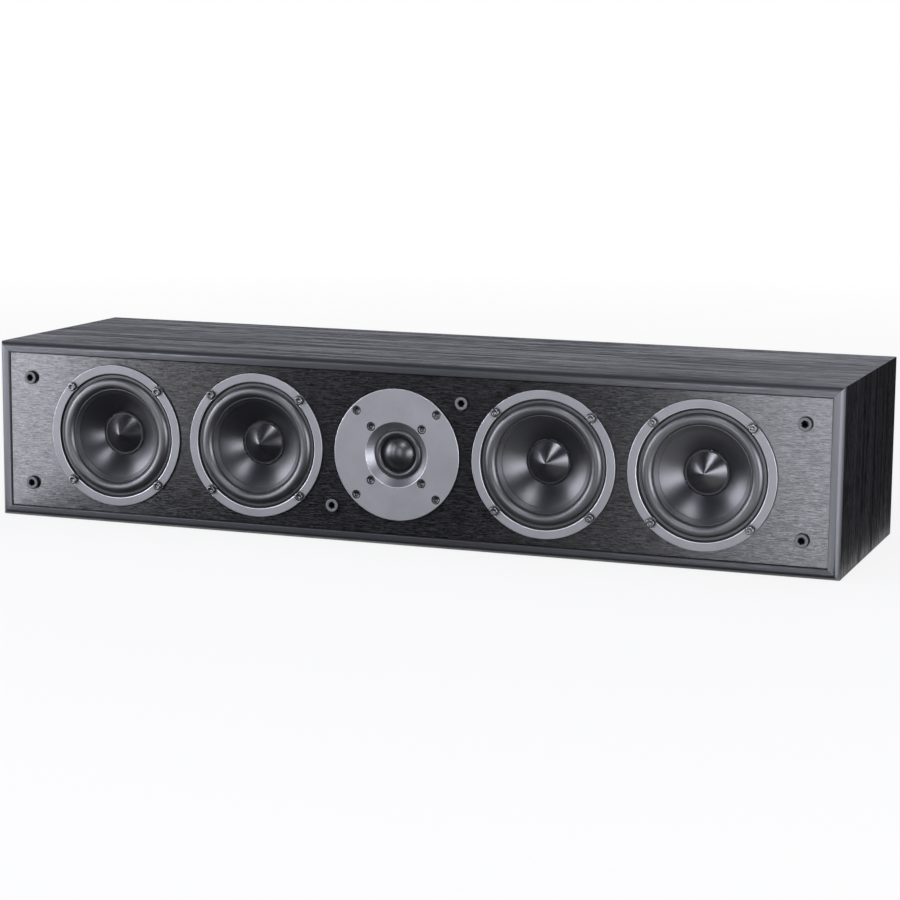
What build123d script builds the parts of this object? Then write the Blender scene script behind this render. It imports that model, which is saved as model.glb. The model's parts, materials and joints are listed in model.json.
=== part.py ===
from build123d import *
from math import cos, radians, sin, sqrt
import os

# Center channel loudspeaker: four woofers and a dome tweeter in a wide, low cabinet.
# X runs along the width, Y from front to rear and Z up, from the middle of the base.

# Cabinet
WIDTH = 660.0
HEIGHT = 136.0
DEPTH = 190.5
WALL = 12.0
LIP = 8.2
LIP_ROUND = 4.2
LIP_BEVEL = 0.9
PANEL_GAP = 0.4
BAFFLE_SET_BACK = 2.0
BAFFLE_THICKNESS = 16.0
REAR_SET_BACK = 3.0
REAR_THICKNESS = 9.0

# Places of the drivers on the baffle
INNER_WOOFER_X = 113.0
WOOFER_PITCH = 117.4

# Clearances
SEAT_GAP = 0.3
GLUE_GAP = 0.1
HOLE_GAP = 0.1

# Woofer front
TRIM_RADIUS = 54.25
TRIM_BORE = 47.5
TRIM_THICKNESS = 2.0
TRIM_ROUND = 0.7
WOOFER_SCREW_CIRCLE = 51.0
WOOFER_SCREW_RADIUS = 1.5
SCREW_HEAD_RADIUS = 3.1
SCREW_HEAD_HEIGHT = 3.0
HEX_SOCKET_RADIUS = 1.7
HEX_SOCKET_DEPTH = 1.6
SCREW_REACH = 12.0

# Woofer basket
FLANGE_RADIUS = 52.4
FLANGE_THICKNESS = 2.5
WOOFER_CUTOUT = 46.5
BASKET_MOUTH = 42.6
BASKET_WALL = 1.8
SPIDER_LEDGE_OUTER = 36.0
SPIDER_LEDGE_INNER = 30.0
SPIDER_DEPTH = 25.0
BASKET_DEPTH = 36.0
BASKET_BASE_OUTER = 33.0
BASKET_BASE_BORE = 21.0
BASKET_WINDOWS = 6
BASKET_WINDOW_WIDTH = 27.0
BASKET_WINDOW_START = 6.5
BASKET_WINDOW_END = 21.0

# Woofer moving parts
SURROUND_SKIN = 0.6
SURROUND_RIM = 46.9
ROLL_OUTER = 43.6
ROLL_INNER = 35.8
ROLL_RISE = 3.0
LIP_INNER = 32.2
CONE_RADIUS = 36.0
CONE_SKIN = 1.0
CONE_DEPTH = 12.8
CONE_BOW = 1.1
CAP_RADIUS = 15.4
CAP_HEIGHT = 8.6
CAP_SKIN = 0.8
CAP_BOW = 0.9
COIL_FORMER = 13.0
COIL_FORMER_WALL = 0.5
COIL_WINDING = 0.7
COIL_WINDING_LENGTH = 11.0
NECK_WALL = 1.0
NECK_LENGTH = 4.0
SPIDER_SKIN = 0.6
SPIDER_WAVE = 1.6
SPIDER_WAVES = 3

# Woofer motor
POLE_RADIUS = 12.0
POLE_VENT = 4.0
GAP_RADIUS = 14.2
TOP_PLATE_RADIUS = 35.0
TOP_PLATE_THICKNESS = 5.0
MAGNET_RADIUS = 38.0
MAGNET_BORE = 19.0
MAGNET_LENGTH = 15.0
YOKE_RADIUS = 36.0
YOKE_THICKNESS = 5.0

# Tweeter
PLATE_RADIUS = 49.05
PLATE_PROUD = 2.0
PLATE_INSET = 3.0
PLATE_ROUND = 0.8
HORN_MOUTH = 24.3
HORN_THROAT = 18.75
TWEETER_CUTOUT = 39.0
PLATE_SCREW_CIRCLE = 44.3
MOTOR_SCREW_CIRCLE = 28.2
PLATE_SCREW_RADIUS = 1.5
PLATE_SCREW_HEAD = 3.0
PLATE_SCREW_SINK = 2.2
PLATE_SCREW_CLEARANCE = 0.25
DOME_RADIUS = 12.7
DOME_RISE = 5.4
DOME_SKIN = 0.6
DOME_ROLL_OUTER = 17.6
DOME_ROLL_RISE = 1.8
DOME_RIM = 23.0
DOME_COIL_WALL = 0.4
DOME_COIL_LENGTH = 4.5
DOME_GAP = 0.6
TWEETER_PLATE_RADIUS = 33.0
TWEETER_PLATE_THICKNESS = 4.0
TWEETER_MAGNET_RADIUS = 32.0
TWEETER_MAGNET_BORE = 16.0
TWEETER_MAGNET_LENGTH = 10.0
TWEETER_YOKE_RADIUS = 30.0
TWEETER_YOKE_THICKNESS = 4.0

# Grille sockets
SOCKET_CORNER_X = 303.0
SOCKET_MIDDLE_X = 50.7
SOCKET_SPREAD_Z = 41.0
SOCKET_RADIUS = 5.1
SOCKET_PROUD = 3.2
SOCKET_ROUND = 0.9
SOCKET_STEM = 4.0
SOCKET_BORE = 2.5
SOCKET_BORE_DEPTH = 12.0

# Bass-reflex port
PORT_X = -172.0
PORT_BORE = 25.0
PORT_WALL = 2.5
PORT_LENGTH = 105.0
PORT_FLARE = 9.0
PORT_FLANGE_RADIUS = 41.0
PORT_FLANGE_THICKNESS = 2.5

# Terminal cup and binding posts
CUP_WIDTH = 76.0
CUP_HEIGHT = 50.0
CUP_DEPTH = 20.0
CUP_WALL = 2.5
CUP_CORNER = 6.0
CUP_RIM = 10.0
CUP_SCREW_RADIUS = 1.5
CUP_SCREW_HEAD = 2.8
CUP_SCREW_HEAD_HEIGHT = 1.6
CUP_SCREW_REACH = 10.0
POST_SPACING = 19.0
POST_RADIUS = 2.0
POST_COLLAR_RADIUS = 5.0
POST_COLLAR_LENGTH = 3.0
POST_TAIL = 8.0
WASHER_RADIUS = 4.8
WASHER_THICKNESS = 1.0
TERMINAL_CAP_RADIUS = 6.2
TERMINAL_CAP_LENGTH = 13.0
TERMINAL_CAP_THREAD = 9.5
TERMINAL_CAP_FLUTES = 10
TERMINAL_CAP_FLUTE_RADIUS = 0.8
THREAD_GAP = 0.15

# Crossover and damping
BOARD_X = 150.0
BOARD_LENGTH = 110.0
BOARD_HEIGHT = 70.0
BOARD_THICKNESS = 1.6
SPACER_RADIUS = 3.5
SPACER_LENGTH = 6.0
SPACER_INSET = 6.0
INDUCTOR_RADIUS = 19.0
INDUCTOR_BORE = 8.0
INDUCTOR_LENGTH = 15.0
CAPACITOR_RADIUS = 8.5
CAPACITOR_LENGTH = 30.0
RESISTOR_LENGTH = 24.0
RESISTOR_SIDE = 9.0
PART_SPACING = 24.0
WADDING_LENGTH = 580.0
WADDING_DEPTH = 90.0
WADDING_THICKNESS = 12.0
WADDING_REAR_GAP = 25.0

# Planes that the pieces share
MID_HEIGHT = HEIGHT / 2
BAFFLE_FACE = BAFFLE_SET_BACK - DEPTH / 2
REAR_FACE = DEPTH / 2 - REAR_SET_BACK
REAR_INSIDE = REAR_FACE - REAR_THICKNESS
PANEL_WIDTH = WIDTH - 2 * (LIP + PANEL_GAP)
PANEL_HEIGHT = HEIGHT - 2 * (LIP + PANEL_GAP)
OUTER_WOOFER_X = INNER_WOOFER_X + WOOFER_PITCH
WOOFER_PLACES = (-OUTER_WOOFER_X, -INNER_WOOFER_X, INNER_WOOFER_X, OUTER_WOOFER_X)
QUARTER_TURNS = (45, 135, 225, 315)


def turned(outline):
    """Solid turned about Y from a closed outline drawn with X as radius and Y as depth."""
    return revolve(make_face(outline), Axis.Y, 360)


def collar(inner, outer, start, end):
    """Plain ring, or a disc where inner is 0, from one depth to another."""
    return turned(Polyline((inner, start), (outer, start), (outer, end), (inner, end), close=True))


def rod(radius, start, end):
    """Round bar along Y from one depth to another."""
    return collar(0, radius, start, end)


def bar(low, high):
    """Box between two opposite corners."""
    size = [b - a for a, b in zip(low, high)]
    middle = [(a + b) / 2 for a, b in zip(low, high)]
    return Pos(*middle) * Box(*size)


def around(radius, angles):
    """Places on a circle about the Y axis."""
    return [Pos(radius * cos(radians(a)), 0, radius * sin(radians(a))) for a in angles]


def cut_all(solid, tools):
    """The solid with every tool taken away from it."""
    for tool in tools:
        solid = solid - tool
    return solid


def panel_frame(width, height, start, end):
    """Box on the cabinet's middle height, from one depth to another."""
    low = (-width / 2, start, MID_HEIGHT - height / 2)
    return bar(low, (width / 2, end, MID_HEIGHT + height / 2))


def on_baffle(x, z=0.0):
    """Place on the front of the baffle, z above its middle."""
    return Pos(x, BAFFLE_FACE, MID_HEIGHT + z)


def on_rear(x, z=0.0):
    """Place on the outside of the rear panel, z above its middle."""
    return Pos(x, REAR_FACE, MID_HEIGHT + z)


def socket_places():
    """Places of the six grille sockets: the corners, and two beside the tweeter."""
    corners = [on_baffle(x, z) for x in (-SOCKET_CORNER_X, SOCKET_CORNER_X)
               for z in (-SOCKET_SPREAD_Z, SOCKET_SPREAD_Z)]
    return corners + [on_baffle(SOCKET_MIDDLE_X, SOCKET_SPREAD_Z),
                      on_baffle(-SOCKET_MIDDLE_X, -SOCKET_SPREAD_Z)]


# Cabinet


def cabinet_sleeve():
    """Folded sleeve with a rounded front lip and a rebate for the panel at each end."""
    block = panel_frame(WIDTH, HEIGHT, -DEPTH / 2, DEPTH / 2)
    block = fillet(block.faces().sort_by(Axis.Y)[0].edges(), LIP_ROUND)
    inside = panel_frame(WIDTH - 2 * WALL, HEIGHT - 2 * WALL, -DEPTH, DEPTH)
    opening = (WIDTH - 2 * LIP, HEIGHT - 2 * LIP)
    front_rebate = panel_frame(*opening, -DEPTH, BAFFLE_FACE + BAFFLE_THICKNESS)
    rear_rebate = panel_frame(*opening, REAR_INSIDE, DEPTH)
    sleeve = block - inside - front_rebate - rear_rebate
    mouth = sleeve.faces().sort_by(Axis.Y)[0].inner_wires()[0].edges()
    return chamfer(mouth, LIP_BEVEL)


def front_baffle():
    """Baffle with the driver cut-outs, their seats, and the screw and socket holes."""
    panel = panel_frame(PANEL_WIDTH, PANEL_HEIGHT, BAFFLE_FACE, BAFFLE_FACE + BAFFLE_THICKNESS)
    cuts = []
    for x in WOOFER_PLACES:
        cuts.append(on_baffle(x) * rod(WOOFER_CUTOUT, 0, BAFFLE_THICKNESS))
        cuts.append(on_baffle(x) * rod(FLANGE_RADIUS + SEAT_GAP, 0, FLANGE_THICKNESS))
        pilot = rod(WOOFER_SCREW_RADIUS + HOLE_GAP, FLANGE_THICKNESS, SCREW_REACH)
        cuts += [on_baffle(x) * place * pilot for place in around(WOOFER_SCREW_CIRCLE, QUARTER_TURNS)]
    cuts.append(on_baffle(0) * rod(TWEETER_CUTOUT, 0, BAFFLE_THICKNESS))
    cuts.append(on_baffle(0) * rod(PLATE_RADIUS + SEAT_GAP, 0, PLATE_INSET))
    pilot = rod(PLATE_SCREW_RADIUS + HOLE_GAP, PLATE_INSET, SCREW_REACH)
    cuts += [on_baffle(0) * place * pilot for place in around(PLATE_SCREW_CIRCLE, QUARTER_TURNS)]
    stem_hole = rod(SOCKET_STEM + HOLE_GAP, 0, BAFFLE_THICKNESS)
    cuts += [place * stem_hole for place in socket_places()]
    return cut_all(panel, cuts)


def rear_panel():
    """Rear panel with the holes for the port and the terminal cup."""
    panel = panel_frame(PANEL_WIDTH, PANEL_HEIGHT, REAR_INSIDE, REAR_FACE)
    port_hole = on_rear(PORT_X) * rod(PORT_BORE + PORT_FLARE + SEAT_GAP + PORT_WALL, -REAR_THICKNESS, 0)
    cup_hole = on_rear(0) * cup_block(CUP_WIDTH + 2 * SEAT_GAP, CUP_HEIGHT + 2 * SEAT_GAP,
                                      CUP_CORNER + SEAT_GAP, -REAR_THICKNESS, 0)
    pilot = rod(CUP_SCREW_RADIUS + HOLE_GAP, -REAR_THICKNESS, 0)
    pilots = [place * pilot for place in cup_screw_places()]
    return cut_all(panel, [port_hole, cup_hole] + pilots)


# Woofer


def trim_ring():
    """Silver ring over the basket's flange, with its front edges rounded."""
    ring = collar(TRIM_BORE, TRIM_RADIUS, -TRIM_THICKNESS, 0)
    ring = fillet(ring.faces().sort_by(Axis.Y)[0].edges(), TRIM_ROUND)
    hole = rod(WOOFER_SCREW_RADIUS + HOLE_GAP, -TRIM_THICKNESS, 0)
    return cut_all(ring, [place * hole for place in around(WOOFER_SCREW_CIRCLE, QUARTER_TURNS)])


def basket():
    """Pressed basket: flange, windowed wall, spider ledge and the base on the top plate."""
    ledge_back = SPIDER_DEPTH + BASKET_WALL
    base_front = BASKET_DEPTH - BASKET_WALL
    outline = Polyline(
        (BASKET_MOUTH, 0), (FLANGE_RADIUS, 0), (FLANGE_RADIUS, FLANGE_THICKNESS),
        (BASKET_MOUTH + BASKET_WALL, FLANGE_THICKNESS),
        (SPIDER_LEDGE_OUTER + BASKET_WALL, ledge_back),
        (SPIDER_LEDGE_INNER + BASKET_WALL, ledge_back),
        (BASKET_BASE_OUTER, BASKET_DEPTH), (BASKET_BASE_BORE, BASKET_DEPTH),
        (BASKET_BASE_BORE, base_front), (BASKET_BASE_OUTER - BASKET_WALL, base_front),
        (SPIDER_LEDGE_INNER, SPIDER_DEPTH), (SPIDER_LEDGE_OUTER, SPIDER_DEPTH), close=True)
    frame = turned(outline)
    window = bar((0, BASKET_WINDOW_START, -BASKET_WINDOW_WIDTH / 2),
                 (FLANGE_RADIUS, BASKET_WINDOW_END, BASKET_WINDOW_WIDTH / 2))
    windows = [Rot(0, 360 * n / BASKET_WINDOWS, 0) * window for n in range(BASKET_WINDOWS)]
    hole = rod(WOOFER_SCREW_RADIUS + HOLE_GAP, 0, FLANGE_THICKNESS)
    holes = [place * hole for place in around(WOOFER_SCREW_CIRCLE, QUARTER_TURNS)]
    return cut_all(frame, windows + holes)


def surround():
    """Rubber half-roll between the flange glued to the basket and the lip glued to the cone."""
    crest = (ROLL_INNER + ROLL_OUTER) / 2
    top = -SURROUND_SKIN
    inner_foot = ROLL_INNER + SURROUND_SKIN
    outer_foot = ROLL_OUTER - SURROUND_SKIN
    outline = Polyline((inner_foot, 0), (LIP_INNER, 0), (LIP_INNER, top), (ROLL_INNER, top))
    outline += ThreePointArc((ROLL_INNER, top), (crest, top - ROLL_RISE), (ROLL_OUTER, top))
    outline += Polyline((ROLL_OUTER, top), (SURROUND_RIM, top), (SURROUND_RIM, 0), (outer_foot, 0))
    outline += ThreePointArc((outer_foot, 0), (crest, -ROLL_RISE), (inner_foot, 0))
    return turned(outline)


def cone():
    """Flared cone: a flat rim for the surround, the bowl, a land for the cap and a neck."""
    neck_bore = COIL_FORMER + GLUE_GAP
    neck = neck_bore + NECK_WALL
    land = CAP_RADIUS + CONE_SKIN
    front = ((LIP_INNER + land) / 2, CONE_DEPTH / 2 - CONE_BOW)
    outline = Polyline((neck_bore, CONE_DEPTH), (land, CONE_DEPTH))
    outline += ThreePointArc((land, CONE_DEPTH), front, (LIP_INNER, 0))
    outline += Polyline((LIP_INNER, 0), (CONE_RADIUS, 0), (CONE_RADIUS, CONE_SKIN), (LIP_INNER, CONE_SKIN))
    outline += ThreePointArc((LIP_INNER, CONE_SKIN), (front[0], front[1] + CONE_SKIN),
                             (land, CONE_DEPTH + CONE_SKIN))
    outline += Polyline((land, CONE_DEPTH + CONE_SKIN), (neck, CONE_DEPTH + CONE_SKIN),
                        (neck, CONE_DEPTH + NECK_LENGTH), (neck_bore, CONE_DEPTH + NECK_LENGTH),
                        (neck_bore, CONE_DEPTH))
    return turned(outline)


def dust_cap():
    """Pointed cap that stands on the cone's land."""
    tip = CONE_DEPTH - CAP_HEIGHT
    bow = (CAP_RADIUS / 2 + CAP_BOW, CONE_DEPTH - CAP_HEIGHT / 2 - CAP_BOW)
    inner_bow = (bow[0] - CAP_SKIN / 2, bow[1] + CAP_SKIN / 2)
    outline = Bezier((CAP_RADIUS, CONE_DEPTH), bow, (0, tip))
    outline += Line((0, tip), (0, tip + CAP_SKIN))
    outline += Bezier((0, tip + CAP_SKIN), inner_bow, (CAP_RADIUS - CAP_SKIN, CONE_DEPTH))
    outline += Line((CAP_RADIUS - CAP_SKIN, CONE_DEPTH), (CAP_RADIUS, CONE_DEPTH))
    return turned(outline)


def voice_coil():
    """Former from the cone's neck into the gap, with the winding on its end."""
    bore = COIL_FORMER - COIL_FORMER_WALL
    end = BASKET_DEPTH + TOP_PLATE_THICKNESS / 2 + COIL_WINDING_LENGTH / 2
    former = collar(bore, COIL_FORMER, CONE_DEPTH, end)
    winding = collar(COIL_FORMER, COIL_FORMER + COIL_WINDING, end - COIL_WINDING_LENGTH, end)
    return former + winding


def spider():
    """Corrugated disc between the former and the basket's ledge."""
    start = COIL_FORMER + GLUE_GAP
    step = (SPIDER_LEDGE_INNER - start) / (2 * SPIDER_WAVES + 1)
    front = [(start, SPIDER_DEPTH - SPIDER_SKIN)]
    for n in range(2 * SPIDER_WAVES):
        rise = SPIDER_WAVE if n % 2 else 0
        front.append((start + (n + 1) * step, SPIDER_DEPTH - SPIDER_SKIN - rise))
    front.append((SPIDER_LEDGE_OUTER - SEAT_GAP, SPIDER_DEPTH - SPIDER_SKIN))
    back = [(r, y + SPIDER_SKIN) for r, y in reversed(front)]
    return turned(Polyline(*front, *back, close=True))


def top_plate():
    """Front steel plate of the motor, which the basket's base sits on."""
    return collar(GAP_RADIUS, TOP_PLATE_RADIUS, BASKET_DEPTH, BASKET_DEPTH + TOP_PLATE_THICKNESS)


def magnet():
    """Ferrite ring between the top plate and the yoke."""
    start = BASKET_DEPTH + TOP_PLATE_THICKNESS
    return collar(MAGNET_BORE, MAGNET_RADIUS, start, start + MAGNET_LENGTH)


def yoke():
    """Rear plate and vented pole in one turned piece."""
    plate = BASKET_DEPTH + TOP_PLATE_THICKNESS + MAGNET_LENGTH
    end = plate + YOKE_THICKNESS
    outline = Polyline((POLE_VENT, BASKET_DEPTH), (POLE_RADIUS, BASKET_DEPTH), (POLE_RADIUS, plate),
                       (YOKE_RADIUS, plate), (YOKE_RADIUS, end), (POLE_VENT, end), close=True)
    return turned(outline)


def socket_screw():
    """Cap screw with a hexagon socket, its head on the trim ring."""
    head_top = -TRIM_THICKNESS - SCREW_HEAD_HEIGHT
    screw = rod(SCREW_HEAD_RADIUS, head_top, -TRIM_THICKNESS)
    screw += rod(WOOFER_SCREW_RADIUS, -TRIM_THICKNESS, SCREW_REACH - SEAT_GAP)
    hexagon = Plane.XZ * RegularPolygon(HEX_SOCKET_RADIUS, 6)
    return screw - Pos(0, head_top, 0) * extrude(hexagon, -HEX_SOCKET_DEPTH)


# Tweeter


def tweeter_faceplate():
    """Round plate with the horn round the dome and the countersunk screw holes."""
    plate = collar(HORN_THROAT, PLATE_RADIUS, -PLATE_PROUD, PLATE_INSET)
    rim = plate.faces().sort_by(Axis.Y)[0].edges().sort_by(SortBy.RADIUS)[-1]
    plate = fillet(rim, PLATE_ROUND)
    plate -= turned(Polyline((0, -PLATE_PROUD), (HORN_MOUTH, -PLATE_PROUD), (HORN_THROAT, PLATE_INSET),
                             (0, PLATE_INSET), close=True))
    return cut_all(plate, [place * plate_screw(PLATE_SCREW_CLEARANCE, PLATE_INSET)
                           for place in plate_screw_places() + motor_screw_places()])


def plate_screw(clearance, end):
    """Countersunk screw, or with a clearance the hole that it goes through."""
    sink = -PLATE_PROUD + PLATE_SCREW_SINK
    shank = PLATE_SCREW_RADIUS + clearance / 2
    head = PLATE_SCREW_HEAD + clearance
    start = -PLATE_PROUD if clearance else -PLATE_PROUD + SEAT_GAP
    return turned(Polyline((0, start), (head, start), (shank, sink), (shank, end), (0, end), close=True))


def plate_screw_places():
    """Places of the screws that hold the faceplate on the baffle."""
    return around(PLATE_SCREW_CIRCLE, QUARTER_TURNS)


def motor_screw_places():
    """Places of the screws that hold the motor on the faceplate."""
    return around(MOTOR_SCREW_CIRCLE, QUARTER_TURNS)


def tweeter_diaphragm():
    """Soft dome, its half-roll and the rim clamped behind the faceplate, in one skin."""
    rim_front = PLATE_INSET
    rim_back = PLATE_INSET + DOME_SKIN
    crest = (DOME_RADIUS + DOME_ROLL_OUTER) / 2
    half = DOME_RADIUS / 2
    ball = (DOME_RADIUS ** 2 + DOME_RISE ** 2) / (2 * DOME_RISE)
    shoulder = DOME_RISE - ball + sqrt(ball ** 2 - half ** 2)
    outline = ThreePointArc((0, rim_front - DOME_RISE), (half, rim_front - shoulder),
                            (DOME_RADIUS, rim_front))
    outline += ThreePointArc((DOME_RADIUS, rim_front), (crest, rim_front - DOME_ROLL_RISE),
                             (DOME_ROLL_OUTER, rim_front))
    outline += Polyline((DOME_ROLL_OUTER, rim_front), (DOME_RIM, rim_front), (DOME_RIM, rim_back),
                        (DOME_ROLL_OUTER, rim_back))
    outline += ThreePointArc((DOME_ROLL_OUTER, rim_back), (crest, rim_back - DOME_ROLL_RISE),
                             (DOME_RADIUS, rim_back))
    outline += ThreePointArc((DOME_RADIUS, rim_back), (half, rim_back - shoulder), (0, rim_back - DOME_RISE))
    outline += Line((0, rim_back - DOME_RISE), (0, rim_front - DOME_RISE))
    return turned(outline)


def tweeter_voice_coil():
    """Coil under the edge of the dome."""
    start = PLATE_INSET + DOME_SKIN
    return collar(DOME_RADIUS - DOME_COIL_WALL, DOME_RADIUS + DOME_COIL_WALL / 2,
                  start + GLUE_GAP, start + DOME_COIL_LENGTH)


def tweeter_top_plate():
    """Front plate of the tweeter's motor, tapped for the motor screws."""
    start = PLATE_INSET + DOME_SKIN
    plate = collar(DOME_RADIUS + DOME_COIL_WALL / 2 + DOME_GAP, TWEETER_PLATE_RADIUS,
                   start, start + TWEETER_PLATE_THICKNESS)
    hole = rod(PLATE_SCREW_RADIUS + HOLE_GAP, start, start + TWEETER_PLATE_THICKNESS)
    return cut_all(plate, [place * hole for place in motor_screw_places()])


def tweeter_magnet():
    """Ferrite ring of the tweeter."""
    start = PLATE_INSET + DOME_SKIN + TWEETER_PLATE_THICKNESS
    return collar(TWEETER_MAGNET_BORE, TWEETER_MAGNET_RADIUS, start, start + TWEETER_MAGNET_LENGTH)


def tweeter_yoke():
    """Rear plate and pole of the tweeter."""
    front = PLATE_INSET + DOME_SKIN
    plate = front + TWEETER_PLATE_THICKNESS + TWEETER_MAGNET_LENGTH
    end = plate + TWEETER_YOKE_THICKNESS
    pole = DOME_RADIUS - DOME_COIL_WALL - DOME_GAP
    outline = Polyline((0, front), (pole, front), (pole, plate), (TWEETER_YOKE_RADIUS, plate),
                       (TWEETER_YOKE_RADIUS, end), (0, end), close=True)
    return turned(outline)


# Sockets, port and terminals


def grille_socket():
    """Rubber socket in the baffle for a peg of the grille."""
    boss = rod(SOCKET_RADIUS, -SOCKET_PROUD, 0)
    boss = fillet(boss.faces().sort_by(Axis.Y)[0].edges(), SOCKET_ROUND)
    boss += rod(SOCKET_STEM, 0, BAFFLE_THICKNESS)
    return boss - rod(SOCKET_BORE, -SOCKET_PROUD, SOCKET_BORE_DEPTH - SOCKET_PROUD)


def port_tube():
    """Flared bass-reflex tube with a flange on the rear panel."""
    flare_end = PORT_BORE + PORT_FLARE
    outside = PORT_BORE + PORT_WALL
    front = PORT_FLANGE_THICKNESS
    lift = PORT_FLARE * (1 - cos(radians(45)))
    outline = Line((PORT_BORE, -PORT_LENGTH), (PORT_BORE, front - PORT_FLARE))
    outline += ThreePointArc((PORT_BORE, front - PORT_FLARE), (PORT_BORE + lift, front - lift),
                             (flare_end, front))
    outline += Polyline((flare_end, front), (PORT_FLANGE_RADIUS, front), (PORT_FLANGE_RADIUS, 0),
                        (flare_end + PORT_WALL, 0), (outside, -PORT_FLARE - PORT_WALL),
                        (outside, -PORT_LENGTH), (PORT_BORE, -PORT_LENGTH))
    return turned(outline)


def cup_block(width, height, corner, start, end):
    """Block with rounded corners for the terminal cup, from one depth to another."""
    outline = Plane.XZ * RectangleRounded(width, height, corner)
    return Pos(0, end, 0) * extrude(outline, end - start)


def cup_screw_places():
    """Places of the terminal cup's screws, in the corners of its rim."""
    x = CUP_WIDTH / 2 + CUP_RIM / 2
    z = CUP_HEIGHT / 2 + CUP_RIM / 2
    return [on_rear(a * x, b * z) for a in (-1, 1) for b in (-1, 1)]


def terminal_cup():
    """Moulded cup sunk into the rear panel, with a rim and holes for the posts."""
    rim = cup_block(CUP_WIDTH + 2 * CUP_RIM, CUP_HEIGHT + 2 * CUP_RIM, CUP_CORNER, 0, CUP_WALL)
    body = cup_block(CUP_WIDTH, CUP_HEIGHT, CUP_CORNER, -CUP_DEPTH - CUP_WALL, 0)
    hollow = cup_block(CUP_WIDTH - 2 * CUP_WALL, CUP_HEIGHT - 2 * CUP_WALL, CUP_CORNER - CUP_WALL,
                       -CUP_DEPTH, CUP_WALL)
    cup = on_rear(0) * (rim + body - hollow)
    holes = [place * rod(CUP_SCREW_RADIUS + HOLE_GAP, 0, CUP_WALL) for place in cup_screw_places()]
    floor_hole = rod(POST_RADIUS + HOLE_GAP, -CUP_DEPTH - CUP_WALL, -CUP_DEPTH)
    holes += [on_rear(x) * floor_hole for x in post_places()]
    return cut_all(cup, holes)


def cup_screw():
    """Pan-head screw through the cup's rim into the rear panel."""
    head = rod(CUP_SCREW_HEAD, CUP_WALL, CUP_WALL + CUP_SCREW_HEAD_HEIGHT)
    head = fillet(head.faces().sort_by(Axis.Y)[-1].edges(), CUP_SCREW_HEAD_HEIGHT / 2)
    return head + rod(CUP_SCREW_RADIUS, CUP_WALL - CUP_SCREW_REACH, CUP_WALL)


def post_places():
    """Places of the two binding posts along X."""
    return (-POST_SPACING / 2, POST_SPACING / 2)


def binding_post():
    """Threaded post with a collar on the cup's floor and a solder tail inside."""
    seat = -CUP_DEPTH + POST_COLLAR_LENGTH
    thread_end = seat + WASHER_THICKNESS + TERMINAL_CAP_THREAD - SEAT_GAP
    post = rod(POST_RADIUS, -CUP_DEPTH - CUP_WALL - POST_TAIL, thread_end)
    return post + rod(POST_COLLAR_RADIUS, -CUP_DEPTH, seat)


def clamp_washer():
    """Loose washer under the cap, which clamps the wire on the collar."""
    seat = -CUP_DEPTH + POST_COLLAR_LENGTH
    return collar(POST_RADIUS + THREAD_GAP, WASHER_RADIUS, seat, seat + WASHER_THICKNESS)


def terminal_cap():
    """Fluted cap that screws along the post."""
    start = -CUP_DEPTH + POST_COLLAR_LENGTH + WASHER_THICKNESS
    end = start + TERMINAL_CAP_LENGTH
    cap = rod(TERMINAL_CAP_RADIUS, start, end)
    cap = chamfer(cap.faces().sort_by(Axis.Y)[-1].edges(), TERMINAL_CAP_FLUTE_RADIUS)
    cap -= rod(POST_RADIUS + THREAD_GAP, start, start + TERMINAL_CAP_THREAD)
    turns = [360 * n / TERMINAL_CAP_FLUTES for n in range(TERMINAL_CAP_FLUTES)]
    flute = rod(TERMINAL_CAP_FLUTE_RADIUS, start, end)
    return cut_all(cap, [place * flute for place in around(TERMINAL_CAP_RADIUS, turns)])


# Crossover and damping


def on_board(x, z, rise=0.0):
    """Place on the front of the crossover board, rise towards the front of the cabinet."""
    y = REAR_INSIDE - SPACER_LENGTH - BOARD_THICKNESS - rise
    return Pos(BOARD_X + x, y, MID_HEIGHT + z)


def crossover_board():
    """Circuit board on spacers inside the rear panel."""
    half = (BOARD_LENGTH / 2, BOARD_HEIGHT / 2)
    return on_board(0, 0) * bar((-half[0], 0, -half[1]), (half[0], BOARD_THICKNESS, half[1]))


def crossover_spacers():
    """Four spacers between the board and the rear panel."""
    x = BOARD_LENGTH / 2 - SPACER_INSET
    z = BOARD_HEIGHT / 2 - SPACER_INSET
    spacer = rod(SPACER_RADIUS, BOARD_THICKNESS, BOARD_THICKNESS + SPACER_LENGTH)
    return [on_board(a * x, b * z) * spacer for a in (-1, 1) for b in (-1, 1)]


def crossover_inductors():
    """Two air-cored coils that lie flat on the board."""
    coil = collar(INDUCTOR_BORE, INDUCTOR_RADIUS, -INDUCTOR_LENGTH, 0)
    x = BOARD_LENGTH / 2 - INDUCTOR_RADIUS - SEAT_GAP
    z = BOARD_HEIGHT / 2 - INDUCTOR_RADIUS - SEAT_GAP
    return [on_board(-x, z) * coil, on_board(x, -z) * coil]


def crossover_capacitors():
    """Two film capacitors along the board."""
    body = Rot(0, 90, 0) * Cylinder(CAPACITOR_RADIUS, CAPACITOR_LENGTH)
    x = BOARD_LENGTH / 2 - CAPACITOR_LENGTH / 2 - SPACER_INSET
    z = BOARD_HEIGHT / 2 - CAPACITOR_RADIUS - SEAT_GAP
    return [on_board(x, z, CAPACITOR_RADIUS) * body, on_board(-x, -z, CAPACITOR_RADIUS) * body]


def crossover_resistors():
    """Two ceramic resistors in the middle of the board."""
    block = bar((-RESISTOR_LENGTH / 2, -RESISTOR_SIDE, -RESISTOR_SIDE / 2),
                (RESISTOR_LENGTH / 2, 0, RESISTOR_SIDE / 2))
    return [on_board(0, z) * block for z in (-PART_SPACING / 2, PART_SPACING / 2)]


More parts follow.
